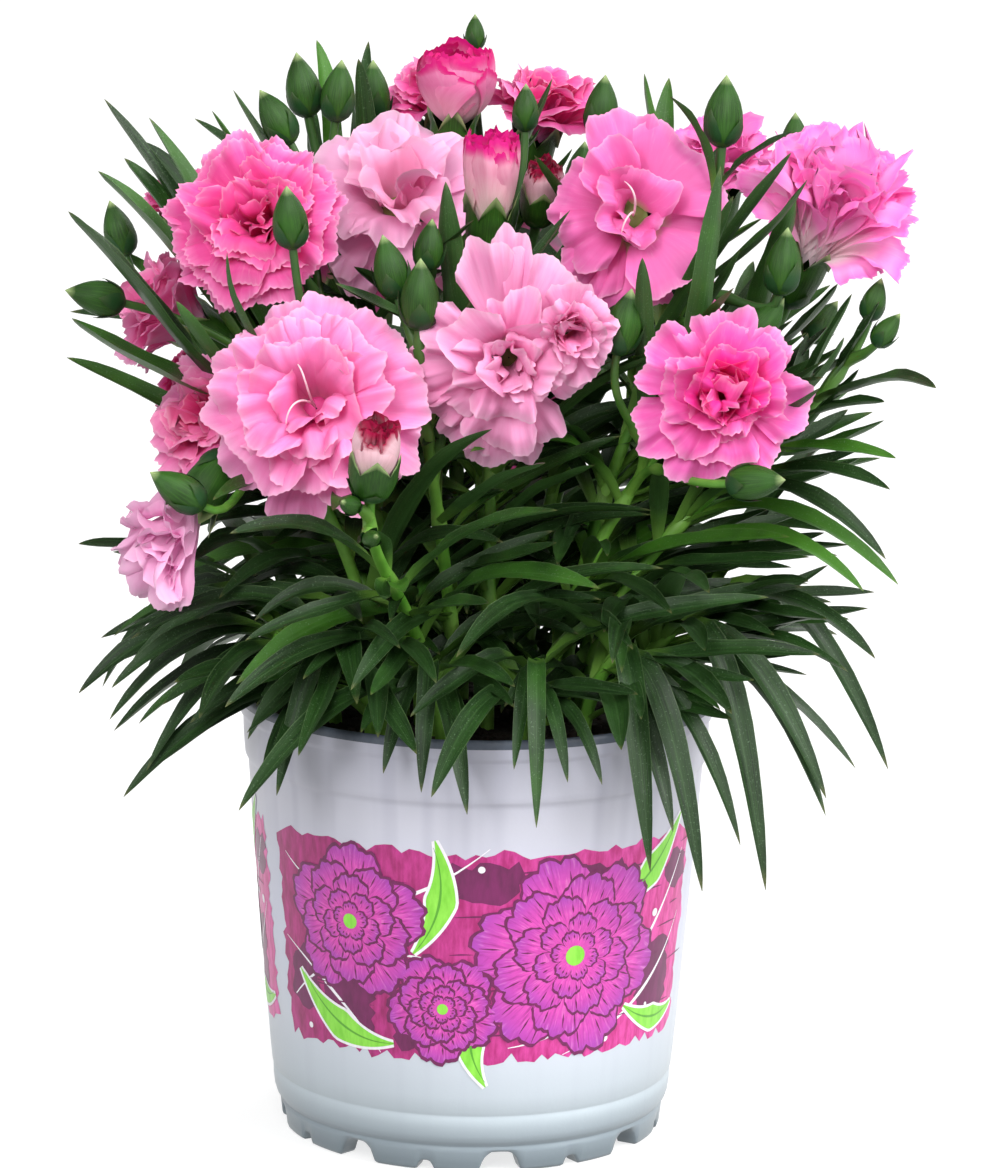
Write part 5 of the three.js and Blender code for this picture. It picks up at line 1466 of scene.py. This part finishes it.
# The two places of the print round the pot, in degrees, and the seed of each.
PRINTS = [(0, 61), (-139, 62)]
PANEL, DEEP, BLOSSOM, LIME, WHITE, RIB = range(6)


def wall_radius(z):
    """The outside radius of the pot at a height."""
    return np.interp(z, [p[1] for p in OUTSIDE], [p[0] for p in OUTSIDE])


def add_decal(build, outline, layer, slot, turn=0.0, middle=None, size=1.0):
    """A flat shape, as arc length and height, laid on the wall; later layers lie above earlier ones."""
    verts, faces = flat_patch(outline, (), DECAL_STEP)
    x, z = vec([(*v,) for v in verts]).T
    angle = -math.pi / 2 + math.radians(turn) + x / PRINT_RADIUS
    radius = wall_radius(z) + PRINT_LIFT + LAYER_RISE * layer
    points = np.stack([radius * np.cos(angle), radius * np.sin(angle), z], axis=-1)
    away = (x - middle[0], z - middle[1]) if middle else (x, z)
    out = np.clip(np.hypot(*away) / size, 0, 1) if middle else 0.5
    way = np.abs(np.arctan2(away[1], away[0])) / math.pi
    build.patch(points, faces, tags_of(x / 200 + 0.5, z / 120, out, way), slot)


def brushed_panel(low, high, bottom, top, draw):
    """A rectangle whose edges are the ends of brush strokes."""
    points = []
    for x in np.arange(low, high, 2.2):
        points.append((x + 0.8 * draw(), bottom + (3.6 * draw() if int(x / 2.2) % 3 else 1.0)))
    for y in np.arange(bottom + 4, top - 3, 2.0):
        points.append((high + 3.0 * draw(), y))
    for x in np.arange(high, low, -2.4):
        points.append((x + 0.6 * draw(), top - 3.2 * draw()))
    for y in np.arange(top - 4, bottom + 3, -2.0):
        points.append((low - 2.6 * draw(), y))
    return points


def blossom(x, y, radius, petals, turn, grow=0.0):
    """The outline of one ring of ruffled petals."""
    points = []
    for angle in np.linspace(0, 2 * math.pi, petals * 22, endpoint=False):
        lobe = abs(math.sin(petals * angle / 2)) ** 0.42
        ruffle = 0.035 * math.sin(petals * 4 * angle + 2 * turn) + 0.02 * math.sin(petals * 9 * angle)
        size = radius * (0.6 + 0.4 * lobe) * (1 + ruffle * lobe) + grow
        points.append((x + size * math.cos(angle + turn), y + size * math.sin(angle + turn)))
    return points


def fold(x, y, angle, low, high, wide):
    """A thin stroke along a petal."""
    middle = 0.55 * low + 0.45 * high
    points = []
    for far, side in ((low, 0), (middle, 1), (high, 0.2), (high, -0.2), (middle, -1)):
        across = side * wide / 2 + 0.08 * (far - low)
        points.append((x + far * math.cos(angle) - across * math.sin(angle),
                       y + far * math.sin(angle) + across * math.cos(angle)))
    return points


def band(path, widths):
    """A stroke of changing width along a few points."""
    curve = Curve(*[(x, y, 0) for x, y in path])
    share = np.linspace(0, 1, 26)
    centre, way = curve.at(share), curve.along(share)
    width = np.interp(share, np.linspace(0, 1, len(widths)), widths)
    aside = np.stack([-way[:, 1], way[:, 0]], axis=-1) * width[:, None] / 2
    left, right = centre[:, :2] + aside, centre[:, :2] - aside
    return [tuple(p) for p in (*left, *right[::-1])]


def add_blossom(build, x, y, radius, petals, angle, turn, draw):
    """A drawn blossom: rings of petals, each with a dark outline and fold strokes, and a lime eye."""
    layer = 5
    for share in (1.0, 0.8, 0.6, 0.41, 0.24):
        size = radius * share
        add_decal(build, blossom(x, y, size, petals, angle, 0.55 + 0.5 * share), layer, DEEP, turn)
        add_decal(build, blossom(x, y, size, petals, angle), layer + 1, BLOSSOM, turn, (x, y), size)
        for k in range(petals):
            for aside in (-0.22, 0.05, 0.26):
                way = angle + (k + 0.5 + aside + 0.06 * draw()) * 2 * math.pi / petals
                stroke = fold(x, y, way, size * 0.72, size * (0.86 + 0.1 * draw()), 0.5)
                add_decal(build, stroke, layer + 2, DEEP, turn)
        layer += 3
        angle += math.pi / petals
    add_decal(build, circle(x, y, radius * 0.1), layer, LIME, turn)


# Where the print's parts lie, as arc length and height. Dark patches: middle, bottom, top and width.
DARK_PATCHES = [
    (-52, 40, 60, 9), (-36, 34, 54, 13), (34, 70, 87, 14), (58, 38, 62, 12), (2, 76, 89, 18),
    (-14, 33, 44, 12), (66, 72, 86, 8),
]
# White sweeps and lime leaves: three points of a path, and the widths at its start, middle and end.
SWEEPS = [
    ([(-58, 84), (-30, 62), (4, 92)], (0.2, 1.6, 0.2)),
    ([(-57, 44), (-34, 66), (-8, 60)], (0.3, 1.4, 0.2)),
    ([(10, 36), (44, 40), (69, 84)], (0.2, 1.8, 0.3)),
    ([(26, 33), (58, 44), (70, 66)], (0.2, 1.2, 0.2)),
    ([(-60, 60), (-40, 50), (-26, 33)], (0.2, 1.0, 0.2)),
]
PRINT_LEAVES = [
    ([(-22, 36), (-40, 34), (-54, 52)], (0.5, 9, 0.3)),
    ([(-16, 62), (-4, 76), (-10, 94)], (0.5, 8, 0.3)),
    ([(40, 74), (54, 78), (66, 95)], (0.5, 9, 0.3)),
    ([(46, 44), (60, 34), (72, 40)], (0.5, 7, 0.3)),
    ([(2, 48), (-4, 36), (4, 25)], (0.5, 7, 0.3)),
]
# Blossoms: middle, radius, petals and angle.
BLOSSOMS = [(28, 61, 28, 6, 0.3), (-34, 69, 21, 5, 0.9), (-8, 47, 15, 5, 0.2)]


def add_print(build, turn, seed):
    draw = draws(seed)
    add_decal(build, brushed_panel(-60, 72, 31, 92, draw), 0, PANEL, turn)
    for x, low, high, wide in DARK_PATCHES:
        add_decal(build, brushed_panel(x - wide / 2, x + wide / 2, low, high, draw), 1, DEEP, turn)
    for _ in range(SCRATCHES):
        x, y = -56 + 124 * draw(), 36 + 50 * draw()
        long = 3 + 9 * draw()
        scratch = band([(x, y), (x + 0.5 * long, y + 0.4), (x + long, y + draw())], (0.1, 0.5, 0.1))
        add_decal(build, scratch, 2, DEEP, turn)
    for path, widths in SWEEPS:
        add_decal(build, band(path, widths), 2, WHITE, turn)
    for path, widths in PRINT_LEAVES:
        add_decal(build, band(path, [w + 1.6 for w in widths]), 3, WHITE, turn)
        add_decal(build, band(path, widths), 4, LIME, turn)
        rib = [(x * 0.94 + path[0][0] * 0.06, y * 0.94 + path[0][1] * 0.06) for x, y in path]
        add_decal(build, band(rib, (0.1, 0.7, 0.1)), 5, RIB, turn)
    for x, y, radius, petals, angle in BLOSSOMS:
        add_blossom(build, x, y, radius, petals, angle, turn, draw)
    for _ in range(DOTS):
        add_decal(build, circle(-55 + 122 * draw(), 35 + 54 * draw(), 0.5 + 0.8 * draw()), 2, WHITE, turn)


def make_print():
    build = Build()
    for turn, seed in PRINTS:
        add_print(build, turn, seed)
    materials = [
        print_material("print_panel", "#8A1858", "#B83082"),
        print_material("print_deep", "#5E1246", "#741A58"),
        blossom_material(),
        print_material("print_lime", "#7ACD38", "#94E150"),
        print_material("print_white", "#E8E4EC", "#F8F4FA"),
        print_material("print_rib", "#4E9A28", "#5CAA30"),
    ]
    dress(build.piece("pot_print", materials))


# ---- Soil ----

SOIL_RADIUS = 61.4
SOIL_EDGE = [(61.4, 113.6), (61.2, 104), (52.0, 12.0), (50.9, 10.5), (0.5, 10.5)]
CRUMBS = 420
CRUMB_CIRCLE = 60
CRUMB_SIDES = 7


def add_crumb(build, draw):
    """A crumb of peat: a lumpy turned body, tilted."""
    r = CRUMB_CIRCLE * math.sqrt(draw())
    a = 2 * math.pi * draw()
    size = 0.5 + 1.5 * draw() ** 2
    centre = vec([r * math.cos(a), r * math.sin(a), SOIL_Z + 0.2])
    end = [0.05] * CRUMB_SIDES
    rings = [[low + 0.4 * draw() for _ in range(CRUMB_SIDES)] for low in (0.8, 0.9, 0.6)]
    radii = vec([end, *rings, end]) * size
    heights = vec([-0.8, -0.45, 0.05, 0.5, 0.72])[:, None] * size
    tilt = vec([draw() - 0.5, draw() - 0.5, 1])
    up = unit(np.cross(tilt, vec([0, 1, 0.2])))
    axes = (unit(tilt), up, np.cross(unit(tilt), up))
    add_turned(build, centre, axes, heights, radii, turns(CRUMB_SIDES), 0, (0.5, 0.5, draw(), 1))


def make_soil():
    draw = draws(SOIL_SEED)
    build = Build()
    angles = turns(160)
    radii = np.linspace(0.5, SOIL_RADIUS, 44)[:, None]
    x, y = radii * np.cos(angles), radii * np.sin(angles)
    lump = np.sin(0.31 * x + 1.1) * np.cos(0.27 * y) + 0.6 * np.sin(0.19 * x - 0.43 * y)
    fine = np.sin(1.9 * x + 2.3 * np.sin(0.8 * y)) * np.sin(2.1 * y + 1.7 * np.sin(0.9 * x))
    finer = np.sin(4.1 * x + 1.3 * y) * np.sin(3.7 * y - 1.1 * x + 2 * np.sin(x))
    z = SOIL_Z + 0.7 * lump + 0.45 * fine + 0.25 * finer - 2.2 * smooth(52, SOIL_RADIUS, radii)
    top = np.stack([x, y, z], axis=-1)
    build.grid(top, PLAIN, around=True)
    below = level_rings(SOIL_EDGE, angles)
    below[0] = top[-1]
    build.grid(below, PLAIN, around=True)
    for _ in range(CRUMBS):
        add_crumb(build, draw)
    dress(build.piece("soil_crumbs", [soil_material()]), "soil")


# ---- The whole plant ----

GREENS = [leaf_material(), stem_material(), calyx_material()]
PETAL_PAINTS = {palette: petal_material(palette) for palette in PALETTES}

make_pot()
make_print()
make_soil()
for stem_number, planned_stem in enumerate(STEMS):
    make_stem(planned_stem, stem_number)
for bloom_number, planned_bloom in enumerate(BLOOMS):
    make_bloom(planned_bloom, bloom_number)

# ---- Floor, light and camera ----

WORLD_LIGHT = 0.45
SPOT_CONE = 12.5
SPOT_BLEND = 0.7
FLOOR_RINGS = [(1, -0.05), (600, -0.05), (60000, -0.05)]

# Lamps: kind, name, place and target in metres, size in metres (degrees for the sun), and power.
LAMPS = [
    ("SUN", "key", (1.5, -0.8, 1.4), (0, 0, 0), 38, 2.9),
    ("AREA", "front", (-0.3, -1.35, 1.25), (0, 0, 0.2), 1.0, 20),
    ("SPOT", "blooms", (-0.55, -1.6, 0.8), (0, -0.03, 0.235), 0.25, 80),
    ("AREA", "right", (0.9, -0.45, 0.15), (0, 0, 0.08), 0.5, 1.3),
    ("AREA", "back", (0.9, 1.1, 1.1), (0, 0, 0.2), 0.8, 8),
]

# The camera that fits the pot in the photo, in pixels, degrees and millimetres; its sight is in metres.
IMAGE_WIDTH, IMAGE_HEIGHT = 1000, 1168
FOCAL_LENGTH = 5108
AXIS_X, AXIS_Y = 478, 589
ELEVATION, ROLL = 11.1, 0.8
DISTANCE, TARGET_Z = 1400, 150
SENSOR = 36
SIGHT = 100


def add_floor():
    build = Build()
    build.grid(level_rings(FLOOR_RINGS, turns(96)), PLAIN, around=True)
    floor = build.piece("floor", [floor_material()])
    floor.visible_diffuse = False


def add_light(kind, name, place, target, size, power):
    """A lamp at a place, turned towards a target; size is metres, or the angle of a sun."""
    light = bpy.data.lights.new(name, kind)
    if kind == "SUN":
        light.angle = math.radians(size)
    elif kind == "AREA":
        light.shape = "DISK"
        light.size = size
    else:
        light.shadow_soft_size = size
        light.spot_size = math.radians(SPOT_CONE)
        light.spot_blend = SPOT_BLEND
    light.energy = power
    lamp = bpy.data.objects.new(name, light)
    lamp.location = place
    lamp.rotation_euler = (Vector(target) - Vector(place)).to_track_quat("-Z", "Y").to_euler()
    bpy.context.scene.collection.objects.link(lamp)


def add_world():
    world = bpy.data.worlds.new("studio")
    world.use_nodes = True
    background = world.node_tree.nodes["Background"]
    background.inputs[0].default_value = (1, 1, 1, 1)
    background.inputs[1].default_value = WORLD_LIGHT
    bpy.context.scene.world = world


def add_camera():
    elevation, roll = math.radians(ELEVATION), math.radians(ROLL)
    forward = vec([0, math.cos(elevation), -math.sin(elevation)])
    right = vec([1, 0, 0])
    up = np.cross(right, forward)
    place = (vec([0, 0, TARGET_Z]) - forward * DISTANCE) * MM
    turned_right = right * math.cos(roll) + up * math.sin(roll)
    turned_up = up * math.cos(roll) - right * math.sin(roll)
    camera = bpy.data.cameras.new("camera")
    camera.sensor_width = SENSOR
    camera.lens = FOCAL_LENGTH / IMAGE_HEIGHT * SENSOR
    camera.shift_x = (IMAGE_WIDTH / 2 - AXIS_X) / IMAGE_HEIGHT
    camera.shift_y = (AXIS_Y - IMAGE_HEIGHT / 2) / IMAGE_HEIGHT
    camera.clip_end = SIGHT
    holder = bpy.data.objects.new("camera", camera)
    columns = (turned_right, turned_up, -forward, place)
    holder.matrix_world = Matrix([*np.column_stack(columns).tolist(), [0, 0, 0, 1]])
    bpy.context.scene.collection.objects.link(holder)
    bpy.context.scene.camera = holder


add_floor()
add_world()
for lamp_row in LAMPS:
    add_light(*lamp_row)
add_camera()

bpy.context.scene.view_settings.view_transform = "Standard"
bpy.context.scene.view_settings.look = "None"

bpy.context.view_layer.update()
